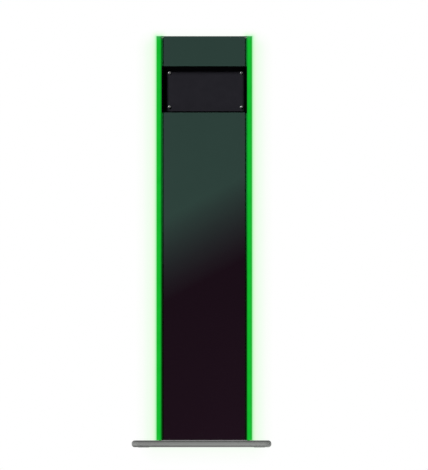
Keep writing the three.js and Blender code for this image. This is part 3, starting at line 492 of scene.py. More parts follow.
LOOKS = {
    "base_paint": base_paint(),
    "pad_rubber": coloured("pad_rubber", (0.120, 0.120, 0.122), (0.72, 0.90), grain=1200.0,
                           depth=0.04, Specular_IOR_Level=0.3),
    "plated_steel": plated_steel(),
    "anodised_black": anodised_black(),
    "panel_gloss": panel_gloss(),
    "foam_tape": coloured("foam_tape", (0.040, 0.040, 0.042), (0.85, 0.98), grain=1600.0,
                          depth=0.12, Specular_IOR_Level=0.2),
    "lit_opal": lit_opal(),
    "flex_board": flex_board(),
    "stainless": coloured("stainless", (0.33, 0.33, 0.32), (0.36, 0.52), vary=0.10,
                          cloud=300.0, grain=2500.0, depth=0.006, Metallic=0.7),
    "tray_black": coloured("tray_black", (0.0008, 0.0011, 0.0011), (0.62, 0.80), grain=1500.0,
                           depth=0.03, Specular_IOR_Level=0.01),
    "window_smoked": window_smoked(),
    "module_glass": coloured("module_glass", (0.010, 0.012, 0.014), (0.05, 0.14), cloud=60.0,
                             depth=0.004, Specular_IOR_Level=0.5),
    "circuit_board": circuit_board(),
    "cable_jacket": coloured("cable_jacket", (0.013, 0.013, 0.014), (0.42, 0.60), grain=1400.0,
                             depth=0.02, Specular_IOR_Level=0.4),
    "ribbon_jacket": ribbon_jacket(),
    "door_paint": coloured("door_paint", (0.0150, 0.0152, 0.0160), (0.50, 0.66), grain=750.0,
                           depth=0.09, worn=(0.10, 0.10, 0.105), Specular_IOR_Level=0.28),
    "black_plastic": coloured("black_plastic", (0.0105, 0.0105, 0.0115), (0.36, 0.52),
                              grain=1300.0, depth=0.035, Specular_IOR_Level=0.45),
    "button_cap": coloured("button_cap", (0.25, 0.25, 0.25), (0.34, 0.48), grain=1300.0,
                           depth=0.02, Specular_IOR_Level=0.45),
}

EXTRA = {
    "nylon": coloured("nylon", (0.60, 0.58, 0.52), (0.34, 0.5), depth=0.02),
    "chip_resin": coloured("chip_resin", (0.014, 0.014, 0.015), (0.5, 0.68), grain=1800.0,
                           depth=0.03),
    "tinned": coloured("tinned", (0.62, 0.62, 0.60), (0.24, 0.4), grain=2000.0, depth=0.006,
                       Metallic=1.0),
    "gold": coloured("gold", (0.80, 0.56, 0.20), (0.2, 0.34), grain=2000.0, depth=0.005,
                     Metallic=1.0),
    "sleeve": coloured("sleeve", (0.016, 0.022, 0.050), (0.28, 0.4), depth=0.01),
    "ferrite": coloured("ferrite", (0.045, 0.044, 0.046), (0.6, 0.8), grain=1500.0, depth=0.05),
    "mark_white": coloured("mark_white", (0.62, 0.62, 0.60), (0.5, 0.65), depth=0.01),
}


# ---------------------------------------------------------------- CAD nodes


def smoothing():
    """A modifier tree that welds a mesh and shades it smooth across its shallow edges."""
    tree = bpy.data.node_groups.new("smooth_shallow_edges", "GeometryNodeTree")
    tree.interface.new_socket("Geometry", in_out="INPUT", socket_type="NodeSocketGeometry")
    tree.interface.new_socket("Geometry", in_out="OUTPUT", socket_type="NodeSocketGeometry")
    graph = Graph(tree)
    source = graph.add("NodeGroupInput").outputs[0]
    plain = graph.add("GeometryNodeRemoveAttribute", {"Geometry": source, "Name": "custom_normal"})
    whole = graph.add(
        "GeometryNodeMergeByDistance",
        {"Geometry": plain.outputs[0], "Distance": WELD_DISTANCE},
    )
    soft = graph.add(
        "GeometryNodeSetShadeSmooth", {"Geometry": whole.outputs[0], "Shade Smooth": True}
    )
    angle = graph.add("GeometryNodeInputMeshEdgeAngle").outputs["Unsigned Angle"]
    steep = graph.add("FunctionNodeCompare", {0: angle, 1: SHARP_ANGLE}, operation="GREATER_THAN")
    crisp = graph.add(
        "GeometryNodeSetShadeSmooth",
        {"Geometry": soft.outputs[0], "Selection": steep.outputs[0], "Shade Smooth": False},
        domain="EDGE",
    )
    graph.add("NodeGroupOutput", {0: crisp.outputs[0]})
    return tree


SMOOTHING = smoothing()


def shade_smooth(piece):
    piece.modifiers.new("smooth", "NODES").node_group = SMOOTHING


def dress(node, slot):
    shown = frame["nodes"][node]
    if not shown.data.materials:
        shown.data.materials.append(None)
    for material_slot in shown.material_slots:
        material_slot.link = "OBJECT"
        material_slot.material = LOOKS[slot]
    shade_smooth(shown)


for entry in frame["record"]["subparts"]:
    dress(entry["node"], entry["material_slot"])


# ---------------------------------------------------------------- added pieces

# Sizes in this part are in millimetres.
TO_BACK = Matrix.Rotation(-math.pi / 2, 4, "X")  # points a shape's own Z along +Y
CORNER_STEPS = 4
BOARD_THICKNESS = 1.6
LEAD_REACH = 1.5  # how far a chip's leads stand out from its body
SCREEN_SHIFT_X, SCREEN_SHIFT_Z = 2.4, -1.3  # the display's middle, from the window's
SHEET_THICKNESS = 1.5  # of a hinge leaf and of the equipment plate
DOOR_LEAF_HEIGHT = 1.8  # of a door leaf's outer face above the door's
CONTACT_PITCH = 1.02  # of the data socket
ROCKER_TILT = math.radians(10)
ROCKER_PIVOT_DEPTH = 5.1  # below the outer face of the switch's bezel
FACE_RISE, FACE_RUN = 1.4, 7.2  # each half of the rocker's face rises to its end
TIE_HEIGHTS = (150, 230, 310)


def at(x, y, z, toward="Z"):
    """A placing matrix that points a shape's own Z along an axis."""
    turn = Matrix.Identity(4)
    if toward == "Y":
        turn = TO_BACK
    elif toward == "X":
        turn = Matrix.Rotation(math.pi / 2, 4, "Y")
    return Matrix.Translation((x, y, z)) @ turn


class Piece:
    """One mesh made of small closed shapes, each with its own look."""

    def __init__(self, name):
        self.name = name
        self.mesh = bmesh.new()
        self.looks = []

    def take(self, shape, look, place=None, soften=0.0):
        """Softens a shape's edges, moves it into place and adds it to the piece."""
        if soften:
            bmesh.ops.bevel(shape, geom=shape.edges[:], offset=soften, segments=1, affect="EDGES")
        if place is not None:
            bmesh.ops.transform(shape, matrix=place, verts=shape.verts[:])
        bmesh.ops.scale(shape, vec=(MM, MM, MM), verts=shape.verts[:])
        bmesh.ops.recalc_face_normals(shape, faces=shape.faces[:])
        if look not in self.looks:
            self.looks.append(look)
        for face in shape.faces:
            face.material_index = self.looks.index(look)
        passing = bpy.data.meshes.new("passing")
        shape.to_mesh(passing)
        shape.free()
        self.mesh.from_mesh(passing)
        bpy.data.meshes.remove(passing)

    def prism(self, look, outline, z0, z1, place=None, soften=0.0):
        """An outline of (x, y) points drawn up from z0 to z1."""
        shape = bmesh.new()
        ends = [[shape.verts.new((x, y, z)) for x, y in outline] for z in (z0, z1)]
        for end in ends:
            shape.faces.new(end)
        for i in range(len(outline)):
            j = (i + 1) % len(outline)
            shape.faces.new((ends[0][i], ends[0][j], ends[1][j], ends[1][i]))
        self.take(shape, look, place, soften)

    def block(self, look, x, y, z, soften=0.2):
        """A box with softened edges, from the (low, high) of each axis."""
        corners = [(x[0], y[0]), (x[1], y[0]), (x[1], y[1]), (x[0], y[1])]
        self.prism(look, corners, *z, soften=soften)

    def turned(self, look, profile, place, sides=20):
        """A shape turned about Z, from (radius, z) points. A third value makes a ring six-sided."""
        shape = bmesh.new()
        rings = []
        for radius, z, *six_sided in profile:
            ring = []
            for i in range(sides if radius else 1):
                angle = TAU * i / sides
                reach = radius
                if six_sided:
                    reach /= math.cos(angle % (TAU / 6) - TAU / 12)
                ring.append(shape.verts.new((reach * math.cos(angle), reach * math.sin(angle), z)))
            rings.append(ring)
        for lower, upper in zip(rings, rings[1:]):
            for i in range(sides):
                j = (i + 1) % sides
                corners = (lower[i % len(lower)], lower[j % len(lower)],
                           upper[j % len(upper)], upper[i % len(upper)])
                shape.faces.new(list(dict.fromkeys(corners)))
        self.take(shape, look, place)

    def ring(self, look, section, place, sides=24):
        """A closed ring about Z whose section is a loop of (radius, z) points."""
        shape = bmesh.new()
        loops = []
        for i in range(sides):
            angle = TAU * i / sides
            loops.append([
                shape.verts.new((r * math.cos(angle), r * math.sin(angle), z)) for r, z in section
            ])
        for i in range(sides):
            here, after = loops[i], loops[(i + 1) % sides]
            for k in range(len(section)):
                m = (k + 1) % len(section)
                shape.faces.new((here[k], here[m], after[m], after[k]))
        self.take(shape, look, place)

    def finish(self, body, slot, *replaced):
        """Makes the object, which rides on body and stands for the replaced CAD nodes."""
        made = bpy.data.meshes.new(self.name)
        self.mesh.to_mesh(made)
        self.mesh.free()
        for look in self.looks:
            made.materials.append(look)
        made.polygons.foreach_set("use_smooth", [True] * len(made.polygons))
        made.set_sharp_from_angle(angle=SHARP_ANGLE)
        piece = bpy.data.objects.new(self.name, made)
        bpy.context.scene.collection.objects.link(piece)
        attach(piece, body)
        if replaced:
            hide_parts(*replaced)


def millimetres(node):
    """A CAD node's lowest and highest corner."""
    return tuple(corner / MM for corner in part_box(node))


def rounded_outline(x0, x1, y0, y1, radius):
    corners = [(x1 - radius, y1 - radius), (x0 + radius, y1 - radius),
               (x0 + radius, y0 + radius), (x1 - radius, y0 + radius)]
    outline = []
    for quarter, (x, y) in enumerate(corners):
        for step in range(CORNER_STEPS + 1):
            angle = TAU / 4 * (quarter + step / CORNER_STEPS)
            outline.append((x + radius * math.cos(angle), y + radius * math.sin(angle)))
    return outline


def screw_head(piece, look, x, y, z, radius, height):
    """A button head with a hexagon socket, standing out along +Y."""
    socket = 0.42 * radius
    profile = [
        (0, 0), (0.92 * radius, 0), (radius, 0.12 * height), (radius, 0.32 * height),
        (0.93 * radius, 0.62 * height), (0.78 * radius, 0.86 * height), (0.58 * radius, height),
        (socket, height, "hex"), (socket, 0.45 * height, "hex"), (0, 0.4 * height),
    ]
    piece.turned(look, profile, at(x, y, z, "Y"), sides=24)


def rivet(piece, look, x, y, z, radius, height):
    """A domed rivet with the small hole its pin leaves."""
    profile = [
        (0, 0), (radius, 0), (radius, 0.2 * height), (0.86 * radius, 0.62 * height),
        (0.6 * radius, 0.9 * height), (0.34 * radius, height), (0.28 * radius, 0.7 * height),
        (0, 0.62 * height),
    ]
    piece.turned(look, profile, at(x, y, z, "Y"))


class Board:
    """A circuit board whose fittings stand out along +Y from its back face."""

    def __init__(self, name, low, high):
        self.piece = Piece(name)
        self.back = low.y + BOARD_THICKNESS
        edge = rounded_outline(low.x, high.x, -high.z, -low.z, 2.0)
        self.piece.prism(LOOKS["circuit_board"], edge, low.y, self.back, TO_BACK, 0.12)

    def block(self, look, x, z, height, base=0.0, soften=0.2):
        self.piece.block(look, x, (self.back + base, self.back + height), z, soften)

    def turned(self, look, profile, x, z, sides=20):
        self.piece.turned(look, profile, at(x, self.back, z, "Y"), sides)

    def leads(self, x, z, half, count, pitch, along, height):
        """Gull-wing leads down the two sides of a chip that face along an axis."""
        outline = [(0, height), (0.5, height), (0.85, 0.22), (LEAD_REACH, 0.2),
                   (LEAD_REACH, 0.02), (0.75, 0.02), (0.4, height - 0.18), (0, height - 0.18)]
        half_width = 0.17 * pitch / 0.6
        for i in range(count):
            offset = (i - (count - 1) / 2) * pitch
            for side in (-1, 1):
                if along == "X":
                    place = at(x + side * half, self.back, z + offset)
                    turn = Matrix.Diagonal((side, 1, 1, 1))
                else:
                    place = at(x + offset, self.back, z + side * half)
                    turn = Matrix.Rotation(-side * math.pi / 2, 4, "Y")
                self.piece.prism(EXTRA["tinned"], outline, -half_width, half_width, place @ turn)

    def chip(self, x, z, half_x, half_z, height, pitch, all_sides=False):
        """A moulded chip: leads at its sides and a dimple by its first lead."""
        body_x = half_x - LEAD_REACH
        body_z = half_z - LEAD_REACH if all_sides else half_z
        self.block(EXTRA["chip_resin"], (x - body_x, x + body_x), (z - body_z, z + body_z),
                   height, 0.15, 0.25)
        middle = 0.5 * height + 0.1
        self.leads(x, z, body_x, int((2 * body_z - 1) / pitch), pitch, "X", middle)
        if all_sides:
            self.leads(x, z, body_z, int((2 * body_x - 1) / pitch), pitch, "Z", middle)
        ring = [(0.75, height), (0.75, height + 0.04), (0.5, height + 0.04), (0.5, height)]
        self.piece.ring(EXTRA["mark_white"], ring,
                        at(x - body_x + 1.8, self.back, z + body_z - 1.8, "Y"), 16)

    def capacitor(self, x, z, radius, height):
        """A can capacitor on its black foot."""
        self.block(EXTRA["chip_resin"], (x - radius, x + radius), (z - radius, z + radius), 1.0)
        r = radius - 0.25
        can = [
            (0, 0.9), (r, 0.9), (r, 1.8), (r - 0.35, 2.1), (r, 2.5), (r, height - 0.9),
            (r - 0.3, height - 0.4), (r - 0.7, height - 0.2), (r - 0.9, height - 0.35),
            (0, height - 0.35),
        ]
        self.turned(EXTRA["tinned"], can, x, z, 24)
        top = height - 1.0
        sleeve = [(r + 0.03, top), (r + 0.03, 2.6), (r - 0.2, 2.6), (r - 0.2, top)]
        self.piece.ring(EXTRA["sleeve"], sleeve, at(x, self.back, z, "Y"), 24)

    def header(self, x, z, height, columns, rows, shell):
        """A shrouded header: four walls, a floor and rows of pins."""
        wall = 0.9
        (x0, x1), (z0, z1) = x, z
        for wall_x, wall_z in (
            ((x0, x0 + wall), z), ((x1 - wall, x1), z),
            ((x0, x1), (z0, z0 + wall)), ((x0, x1), (z1 - wall, z1)),
        ):
            self.block(shell, wall_x, wall_z, height, 0.0, 0.15)
        self.block(shell, (x0 + 0.1, x1 - 0.1), (z0 + 0.1, z1 - 0.1), 1.5)
        for i in range(columns):
            for j in range(rows):
                pin_x = x0 + (x1 - x0) * (i + 1) / (columns + 1)
                pin_z = z0 + (z1 - z0) * (j + 1) / (rows + 1)
                self.block(EXTRA["gold"], (pin_x - 0.3, pin_x + 0.3),
                           (pin_z - 0.3, pin_z + 0.3), height - 1.2, 1.2, 0.12)

    def small_part(self, x, z, upright, body):
        """A surface-mounted resistor or capacitor with tinned ends, 3.2 by 1.6."""
        half = (0.8, 1.6) if upright else (1.6, 0.8)
        inner = (0.75, 1.1) if upright else (1.1, 0.75)
        self.block(EXTRA["tinned"], (x - half[0], x + half[0]), (z - half[1], z + half[1]),
                   0.62, 0.0, 0.1)
        self.block(body, (x - inner[0] - 0.06, x + inner[0] + 0.06),
                   (z - inner[1] - 0.06, z + inner[1] + 0.06), 0.72, 0.0, 0.1)

    def small_parts(self, places, upright=False):
        for i, (x, z) in enumerate(places):
            self.small_part(x, z, upright, EXTRA["ferrite" if i % 3 else "chip_resin"])


def moved_by(start):
    """A function that adds start to each value it is given."""
    return lambda *values: tuple(start + value for value in values)


def make_controller_board():
    low, high = millimetres("controller_board")
    board = Board("controller_board_detailed", low, high)
    x0, z0 = (low.x + high.x) / 2, low.z  # the fittings are placed from here
    x, z = moved_by(x0), moved_by(z0)

    board.header(x(-41, -29), z(0, 10), 8, 4, 1, EXTRA["nylon"])
    board.header(x(27, 43), z(0, 14), 10, 5, 2, LOOKS["black_plastic"])
    board.header(x(-15, 15), z(127, 136), 7, 10, 2, LOOKS["black_plastic"])
    for side in (-1, 1):
        ends = sorted((side * 43, side * 52))
        board.header(x(*ends), z(63, 73), 7, 2, 2, EXTRA["nylon"])
    board.chip(x0, z0 + 83, 9, 9, 1.8, 1.0, all_sides=True)
    board.chip(x0 + 23, z0 + 89, 5, 7, 1.6, 1.27)
    board.chip(x0 + 24, z0 + 108, 4.5, 4, 1.6, 1.27)
    board.chip(x0 - 30, z0 + 84, 4.5, 5.2, 1.6, 1.27)
    board.capacitor(x0 - 22, z0 + 28, 5, 11)
    board.capacitor(x0 - 8, z0 + 28, 5, 11)
    board.capacitor(x0 - 36, z0 + 108, 3.5, 9)
    # inductor
    board.block(EXTRA["ferrite"], x(-30, -18), z(50, 62), 5.4, 0.0, 1.0)
    board.turned(EXTRA["ferrite"], [(0, 5.2), (4.6, 5.2), (4.6, 5.8), (4.2, 6), (0, 6)],
                 x0 - 24, z0 + 56, 24)
    # heat sink
    board.block(LOOKS["anodised_black"], x(8, 34), z(36, 50), 2.6, 0.0, 0.3)
    for left in range(8, 36, 4):
        board.block(LOOKS["anodised_black"], x(left, left + 1.9), z(36, 50), 12, 2.0, 0.25)
    # crystal
    can = rounded_outline(x0 - 3, x0 + 8, -(z0 + 71), -(z0 + 66), 2.4)
    board.piece.prism(EXTRA["tinned"], can, board.back, board.back + 3.2, TO_BACK, 0.3)
    board.small_parts([(x0 + a, z0 + 100) for a in range(-12, 14, 4)], upright=True)
    board.small_parts([(x0 + a, z0 + 118) for a in range(-24, 36, 6)])
    board.small_parts([(x0 - 18, z0 + b) for b in range(74, 96, 4)])
    board.small_parts([(x0 + 40, z0 + b) for b in range(82, 126, 5)])
    board.small_parts([(x0 + a, z0 + 20) for a in range(2, 26, 5)], upright=True)
    for side in (-1, 1):
        for height in (6, 130):
            screw_head(board.piece, LOOKS["plated_steel"], x0 + side * 46, board.back,
                       z0 + height, 2.9, 1.9)
    board.piece.finish("stand", "circuit_board", "controller_board")


def make_display_board():
    low, high = millimetres("display_board")
    board = Board("display_board_detailed", low, high)
    middle_x, middle_z = (low.x + high.x) / 2, (low.z + high.z) / 2
    # The fittings are placed from the middle of the window.
    x0, z0 = middle_x - SCREEN_SHIFT_X, middle_z - SCREEN_SHIFT_Z
    x, z = moved_by(x0), moved_by(z0)

    board.header(x(-15, 15), z(-36, -28.5), 6, 10, 2, LOOKS["black_plastic"])
    board.chip(x0, z0 + 1, 11, 11, 1.8, 1.0, all_sides=True)
    board.block(EXTRA["ferrite"], x(30, 42), z(-6, 6), 3.2, 0.0, 0.9)
    board.chip(x0 - 41, z0 + 11, 5, 7, 2.4, 1.27)
    board.capacitor(x0 - 50, z0 - 16, 4, 8)
    board.capacitor(x0 - 38, z0 - 16, 4, 8)
    board.header(x(48, 62), z(14, 28), 4, 4, 1, EXTRA["nylon"])
    board.small_parts([(x0 + a, z0 + 20) for a in range(-20, 24, 5)], upright=True)
    board.small_parts([(x0 + a, z0 - 20) for a in range(-22, 30, 6)])
    board.small_parts([(x0 + 24, z0 + b) for b in range(-10, 16, 5)])
    board.small_parts([(x0 - 26, z0 + b) for b in range(-8, 18, 5)])
    for side_x in (-1, 1):
        for side_z in (-1, 1):
            screw_head(board.piece, LOOKS["plated_steel"], middle_x + side_x * 71.8, board.back,
                       middle_z + side_z * 34, 2.8, 1.8)
    board.piece.finish("stand", "circuit_board", "display_board")


def make_ribbon_plugs():
    """The black pressed-on plugs at both ends of the flat cable."""
    low, high = millimetres("display_ribbon")
    board_top = millimetres("controller_board")[1].z
    piece = Piece("ribbon_plugs")
    y0, y1 = low.y - 0.1, low.y + 5.6
    for z0, z1 in ((board_top + 0.4, board_top + 5.4), (high.z - 4.6, high.z + 0.4)):
        piece.block(LOOKS["black_plastic"], (low.x - 1.6, high.x + 1.6), (y0, y1), (z0, z1), 0.4)
        piece.block(LOOKS["black_plastic"], (low.x + 8, high.x - 8), (y1 - 0.2, y1 + 0.6),
                    (z0 + 0.8, z1 - 0.8), 0.2)
    piece.finish("stand", "black_plastic")


def make_back_fasteners():
    """Screws of the connector plate and hinges, and rivets of the equipment plate."""
    steel = LOOKS["plated_steel"]
    low, high = millimetres("io_plate")
    piece = Piece("connector_plate_screws")
    for x in (low.x + 6, high.x - 6):
        for z in (low.z + 6, high.z - 6):
            screw_head(piece, LOOKS["stainless"], x, high.y, z, 2.6, 1.7)
    piece.finish("stand", "stainless")

    piece = Piece("hinge_screws_fixed")
    for name in ("lower", "upper"):
        low, high = millimetres(f"hinge_leaf_fixed_{name}")
        middle = (low.z + high.z) / 2
        for z in (middle - 14, middle + 14):
            screw_head(piece, steel, low.x + 4, low.y + SHEET_THICKNESS, z, 2.4, 1.4)
    piece.finish("stand", "plated_steel")

    piece = Piece("hinge_screws_door")
    for name in ("lower", "upper"):
        low, high = millimetres(f"hinge_leaf_door_{name}")
        middle = (low.z + high.z) / 2
        leaf_back = millimetres("service_door")[1].y + DOOR_LEAF_HEIGHT
        for z in (middle - 15, middle, middle + 15):
            screw_head(piece, steel, high.x - 5.5, leaf_back, z, 2.4, 1.4)
    piece.finish("door", "plated_steel")

    low, high = millimetres("equipment_plate")
    piece = Piece("equipment_plate_rivets")
    for x in (low.x + 6, high.x - 6):
        for z in (low.z + 10, (low.z + high.z) / 2, high.z - 10):
            rivet(piece, steel, x, low.y + SHEET_THICKNESS, z, 2.4, 1.1)
    piece.finish("stand", "plated_steel")


def make_connector_details():
    """Contacts of the data socket and power inlet, and the marks on the switch."""
    low, high = millimetres("data_socket")
    x0, z0 = (low.x + high.x) / 2, (low.z + high.z) / 2
    piece = Piece("data_socket_contacts")
    spring = [(0, 4.5), (1.0, 4.4), (8.6, 1.4), (9.2, 1.5), (9.0, 1.9), (1.1, 4.75), (0, 4.8)]
    for i in range(8):
        # Its own X runs into the socket and its own Y upwards.
        place = (Matrix.Translation((x0 + (i - 3.5) * CONTACT_PITCH, high.y - 3.0, z0))
                 @ Matrix(((0, 0, 1, 0), (-1, 0, 0, 0), (0, 1, 0, 0), (0, 0, 0, 1))))
        piece.prism(EXTRA["gold"], spring, -0.2, 0.2, place)
    piece.finish("stand", "plated_steel")

    low, high = millimetres("power_inlet")
    x0, z0 = (low.x + high.x) / 2, (low.z + high.z) / 2
    piece = Piece("power_inlet_contacts")
    pin = [(0, -9.6), (1.12, -9.6), (1.12, -1.9), (0.95, -1.5), (0.45, -1.3), (0.35, -1.9), (0, -2)]
    piece.turned(EXTRA["tinned"], pin, at(x0, high.y, z0, "Y"), 20)
    sleeve = [(3.18, -9.0), (3.18, -1.2), (2.92, -1.4), (2.92, -9.0)]
    piece.ring(EXTRA["tinned"], sleeve, at(x0, high.y, z0, "Y"), 28)
    nut = [(3.3, 0.02), (3.3, 0.32), (5.9, 0.32), (6.2, 0.02)]
    piece.ring(LOOKS["plated_steel"], nut, at(x0, high.y, z0, "Y"), 32)
    piece.finish("stand", "plated_steel")

    low, high = millimetres("power_switch_body")
    pivot = ((low.x + high.x) / 2, high.y - ROCKER_PIVOT_DEPTH, (low.z + high.z) / 2)
    tilt = Matrix.Translation(pivot) @ Matrix.Rotation(ROCKER_TILT, 4, "X")
    piece = Piece("switch_marks")
    for up, drawing in ((1, "bar"), (-1, "ring")):
        slope = Matrix.Rotation(math.atan2(-up * FACE_RISE, FACE_RUN), 4, "X")
        face = tilt @ Matrix.Translation((0, 5.72, up * 3.8)) @ slope @ TO_BACK
        if drawing == "bar":
            outline = rounded_outline(-0.3, 0.3, -1.7, 1.7, 0.28)
            piece.prism(EXTRA["mark_white"], outline, -0.1, 0.1, face)
        else:
            loop = [(1.7, -0.1), (1.7, 0.1), (1.15, 0.1), (1.15, -0.1)]
            piece.ring(EXTRA["mark_white"], loop, face, 28)
    piece.finish("rocker", "button_cap")


def lead_at(node, height):
    """The middle of a lead where it crosses a height, and its radius."""
    points = [v.co / MM for v in frame["nodes"][node].data.vertices]
    nearest = sorted(points, key=lambda point: abs(point.z - height))[:8]
    middle = sum(nearest, Vector()) / len(nearest)
    return middle, max((point.xy - middle.xy).length for point in nearest)


def make_cable_ties():
    piece = Piece("cable_ties")
    for node in ("power_lead", "data_lead"):
        for height in TIE_HEIGHTS:
            middle, radius = lead_at(node, height)
            inner, outer = radius + 0.05, radius + 0.95
            band = [(inner, -1.3), (outer - 0.2, -1.3), (outer, -1.0), (outer, 1.0),
                    (outer - 0.2, 1.3), (inner, 1.3)]
            piece.ring(LOOKS["black_plastic"], band, at(middle.x, middle.y, middle.z), 24)
            y0 = middle.y + outer - 0.4
            piece.block(LOOKS["black_plastic"], (middle.x - 2.1, middle.x + 2.1), (y0, y0 + 2.6),
                        (middle.z - 2.2, middle.z + 2.2), 0.35)
            piece.block(LOOKS["black_plastic"], (middle.x + 2.0, middle.x + 3.4),
                        (y0 + 0.6, y0 + 1.6), (middle.z - 1.2, middle.z + 1.2), 0.2)
    piece.finish("stand", "black_plastic")


make_controller_board()
make_display_board()
make_ribbon_plugs()
make_back_fasteners()
make_connector_details()
make_cable_ties()


# ---------------------------------------------------------------- stage

VIEW_RIGHT = 0.0249  # the picture's middle, from the base's middle
VIEW_UP = 0.0136  # and from the object's half height
VIEW_HEIGHT = 0.9382
CAMERA_DISTANCE = 3.0
FLOOR_REACH = 16.0
ROOM_FRONT, ROOM_BACK = 0.004, 0.30  # how bright the studio is in front and behind

TO_SUN = Vector((-8.3, -9.0, 11.1)).normalized()
FILM_REACH = 0.062  # the film that shows the glow goes this far past the column
NEAR_REACH, FAR_REACH = 0.014, 0.043  # of the glow round the bars and of the wide glow
END_DIMMING = 1.6 * MM  # over a bar's top the glow is as weak as this much further out
FAR_DROP = 26 * MM  # the wide glow's source ends this far below the bars' tops
# Below the floor the wide glow starts as weak as this far out, and weakens at this rate.
BENEATH_START, BENEATH_RATE = 21 * MM, 0.6
# How the glow tints what is behind it: the share of its reach, and the tint there.
NEAR_GLOW = (
    (0.00, (125, 228, 138)), (0.17, (204, 255, 212)), (0.35, (236, 255, 236)),
    (0.60, (250, 255, 248)), (1.00, (255, 255, 255)),
)
FAR_GLOW = (
    (0.00, (241, 250, 235)), (0.40, (241, 254, 240)), (0.66, (251, 254, 250)),
    (1.00, (255, 255, 255)),
)


def make_camera():
    camera = bpy.data.objects.new("camera", bpy.data.cameras.new("camera"))
    bpy.context.scene.collection.objects.link(camera)
    middle = (CAD_LOW + CAD_HIGH) / 2
    camera.location = (middle.x + VIEW_RIGHT, -CAMERA_DISTANCE, middle.z + VIEW_UP)
    camera.rotation_euler = (math.pi / 2, 0, 0)
    camera.data.type = "ORTHO"
    camera.data.ortho_scale = VIEW_HEIGHT
    camera.data.clip_end = 50.0
    bpy.context.scene.camera = camera


def make_world():
    """White behind the object, and a dim studio that is dark in front for what it reflects."""
    world = bpy.data.worlds.new("studio")
    bpy.context.scene.world = world
    world.use_nodes = True
    graph = Graph(world.node_tree)
    direction = graph.add("ShaderNodeTexCoord").outputs["Generated"]
    y = graph.add("ShaderNodeSeparateXYZ", {0: direction}).outputs[1]
    room = graph.span(y, -0.5, 0.1, ROOM_FRONT, ROOM_BACK)
    seen = graph.add("ShaderNodeLightPath").outputs["Is Camera Ray"]
    strength = graph.math("MAXIMUM", room, seen)
    backdrop = graph.add("ShaderNodeBackground", {"Color": (1, 1, 1, 1), "Strength": strength})
    graph.add("ShaderNodeOutputWorld", {"Surface": backdrop.outputs[0]})


def make_sun(strength, spread):
    sun = bpy.data.objects.new("key", bpy.data.lights.new("key", "SUN"))
    bpy.context.scene.collection.objects.link(sun)
    sun.data.energy = strength
    sun.data.angle = math.radians(spread)
    sun.rotation_mode = "QUATERNION"
    sun.rotation_quaternion = TO_SUN.to_track_quat("Z", "Y")


def make_softbox(name, place, target, width, height, power, mirrored=True):
    lamp = bpy.data.objects.new(name, bpy.data.lights.new(name, "AREA"))
    bpy.context.scene.collection.objects.link(lamp)
    lamp.data.shape = "RECTANGLE"
    lamp.data.size, lamp.data.size_y = width, height
    lamp.data.energy = power
    lamp.location = place
    lamp.rotation_mode = "QUATERNION"
    lamp.rotation_quaternion = (Vector(place) - Vector(target)).to_track_quat("Z", "Y")
    lamp.visible_camera = False
    lamp.visible_glossy = mirrored


def stage_plane(name, corners, look):
    made = bpy.data.meshes.new(name)
    made.from_pydata(corners, [], [(0, 1, 2, 3)])
    plane = bpy.data.objects.new(name, made)
    bpy.context.scene.collection.objects.link(plane)
    plane.data.materials.append(look)
    return plane


def make_floor():
    look = coloured("floor_paper", (0.86, 0.865, 0.87), (0.75, 0.9), vary=0.01, cloud=3.0,
                    grain=400.0, depth=0.02, Specular_IOR_Level=0.1)
    sides = ((-1, -1), (1, -1), (1, 1), (-1, 1))
    corners = [(x * FLOOR_REACH, y * FLOOR_REACH, 0) for x, y in sides]
    floor = stage_plane("floor", corners, look)
    floor.visible_diffuse = False
    floor.visible_glossy = False


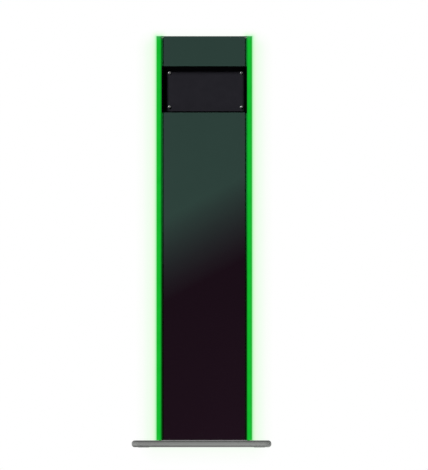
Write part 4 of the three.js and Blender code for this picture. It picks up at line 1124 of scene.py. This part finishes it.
def make_glow():
    """The soft green glow of the bars, as a tinted film in four strips round the column."""
    look = bpy.data.materials.new("glow_film")
    look.use_nodes = True
    graph = Graph(look.node_tree)
    x, _, z = graph.axes()
    column_half = (COLUMN_HIGH.x - COLUMN_LOW.x) / 2
    bar_low, bar_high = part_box("light_diffuser_left")
    aside = graph.math("ABSOLUTE", graph.math("SUBTRACT", x, COLUMN_X))
    outside = graph.math("SUBTRACT", aside, column_half)

    def away(*offsets):
        """How far a point is from an area, from its offsets beyond the area's sides."""
        squares = [graph.math("POWER", graph.math("MAXIMUM", o, 0.0), 2.0) for o in offsets]
        return graph.math("SQRT", graph.math("ADD", *squares))

    def glow(distance, reach, stops):
        return graph.ramp(
            graph.math("DIVIDE", distance, reach),
            [(share, tone(*colour)) for share, colour in stops],
        )

    bar_width = bar_high.x - bar_low.x
    inside = graph.math("SUBTRACT", column_half - bar_width, aside)
    over = graph.math("SUBTRACT", z, bar_high.z)
    dimming = graph.math("MULTIPLY", graph.math("GREATER_THAN", over, 0.0), END_DIMMING)
    over = graph.math("ADD", over, dimming)
    under = graph.math("SUBTRACT", bar_low.z, z)
    to_bar = away(graph.math("MAXIMUM", outside, inside), graph.math("MAXIMUM", over, under))
    above = graph.math("SUBTRACT", z, bar_high.z - FAR_DROP)
    below = graph.math("SUBTRACT", BENEATH_START, graph.math("MULTIPLY", z, BENEATH_RATE))
    beneath = graph.math("MULTIPLY", graph.math("LESS_THAN", z, 0.0), below)
    to_column = away(outside, graph.math("MAXIMUM", above, beneath))
    tint = graph.mix(
        1.0,
        glow(to_bar, NEAR_REACH, NEAR_GLOW),
        glow(to_column, FAR_REACH, FAR_GLOW),
        "MULTIPLY",
    )
    film = graph.add("ShaderNodeBsdfTransparent", {"Color": tint})
    graph.add("ShaderNodeOutputMaterial", {"Surface": film.outputs[0]})
    y = (bar_low.y + bar_high.y) / 2
    left, right = COLUMN_LOW.x - FILM_REACH, COLUMN_HIGH.x + FILM_REACH
    top = CAD_HIGH.z + FILM_REACH
    strips = {
        "glow_left": (left, COLUMN_LOW.x, -FILM_REACH, top),
        "glow_right": (COLUMN_HIGH.x, right, -FILM_REACH, top),
        "glow_above": (COLUMN_LOW.x, COLUMN_HIGH.x, CAD_HIGH.z, top),
        "glow_below": (COLUMN_LOW.x, COLUMN_HIGH.x, -FILM_REACH, 0.0),
    }
    for name, (x0, x1, z0, z1) in strips.items():
        strip = stage_plane(name, [(x0, y, z0), (x1, y, z0), (x1, y, z1), (x0, y, z1)], look)
        for ray in ("diffuse", "glossy", "transmission", "volume_scatter", "shadow"):
            setattr(strip, f"visible_{ray}", False)


make_camera()
make_world()
make_sun(strength=5.52, spread=19.0)
# Each softbox's name, place, target, width, height and power in watts.
make_softbox("kicker", (0.16, -0.45, 0.010), (0.0, 0.0, 0.006), 0.9, 0.02, 1.05, mirrored=False)
make_softbox("corner_kicker", (0.62, -0.16, 0.012), (0.13, -0.08, 0.006), 0.35, 0.02, 1.2,
             mirrored=False)
make_softbox("rear_left", (-1.8, 1.9, 1.2), (0.0, 0.0, 0.4), 1.8, 2.2, 60.0)
make_softbox("rear_right", (1.9, 1.5, 0.9), (0.0, 0.0, 0.4), 1.2, 2.0, 34.0)
make_softbox("overhead", (0.0, 0.8, 2.4), (0.0, 0.1, 0.4), 1.6, 1.0, 22.0, mirrored=False)
make_floor()
make_glow()
bpy.context.scene.view_settings.view_transform = "Standard"
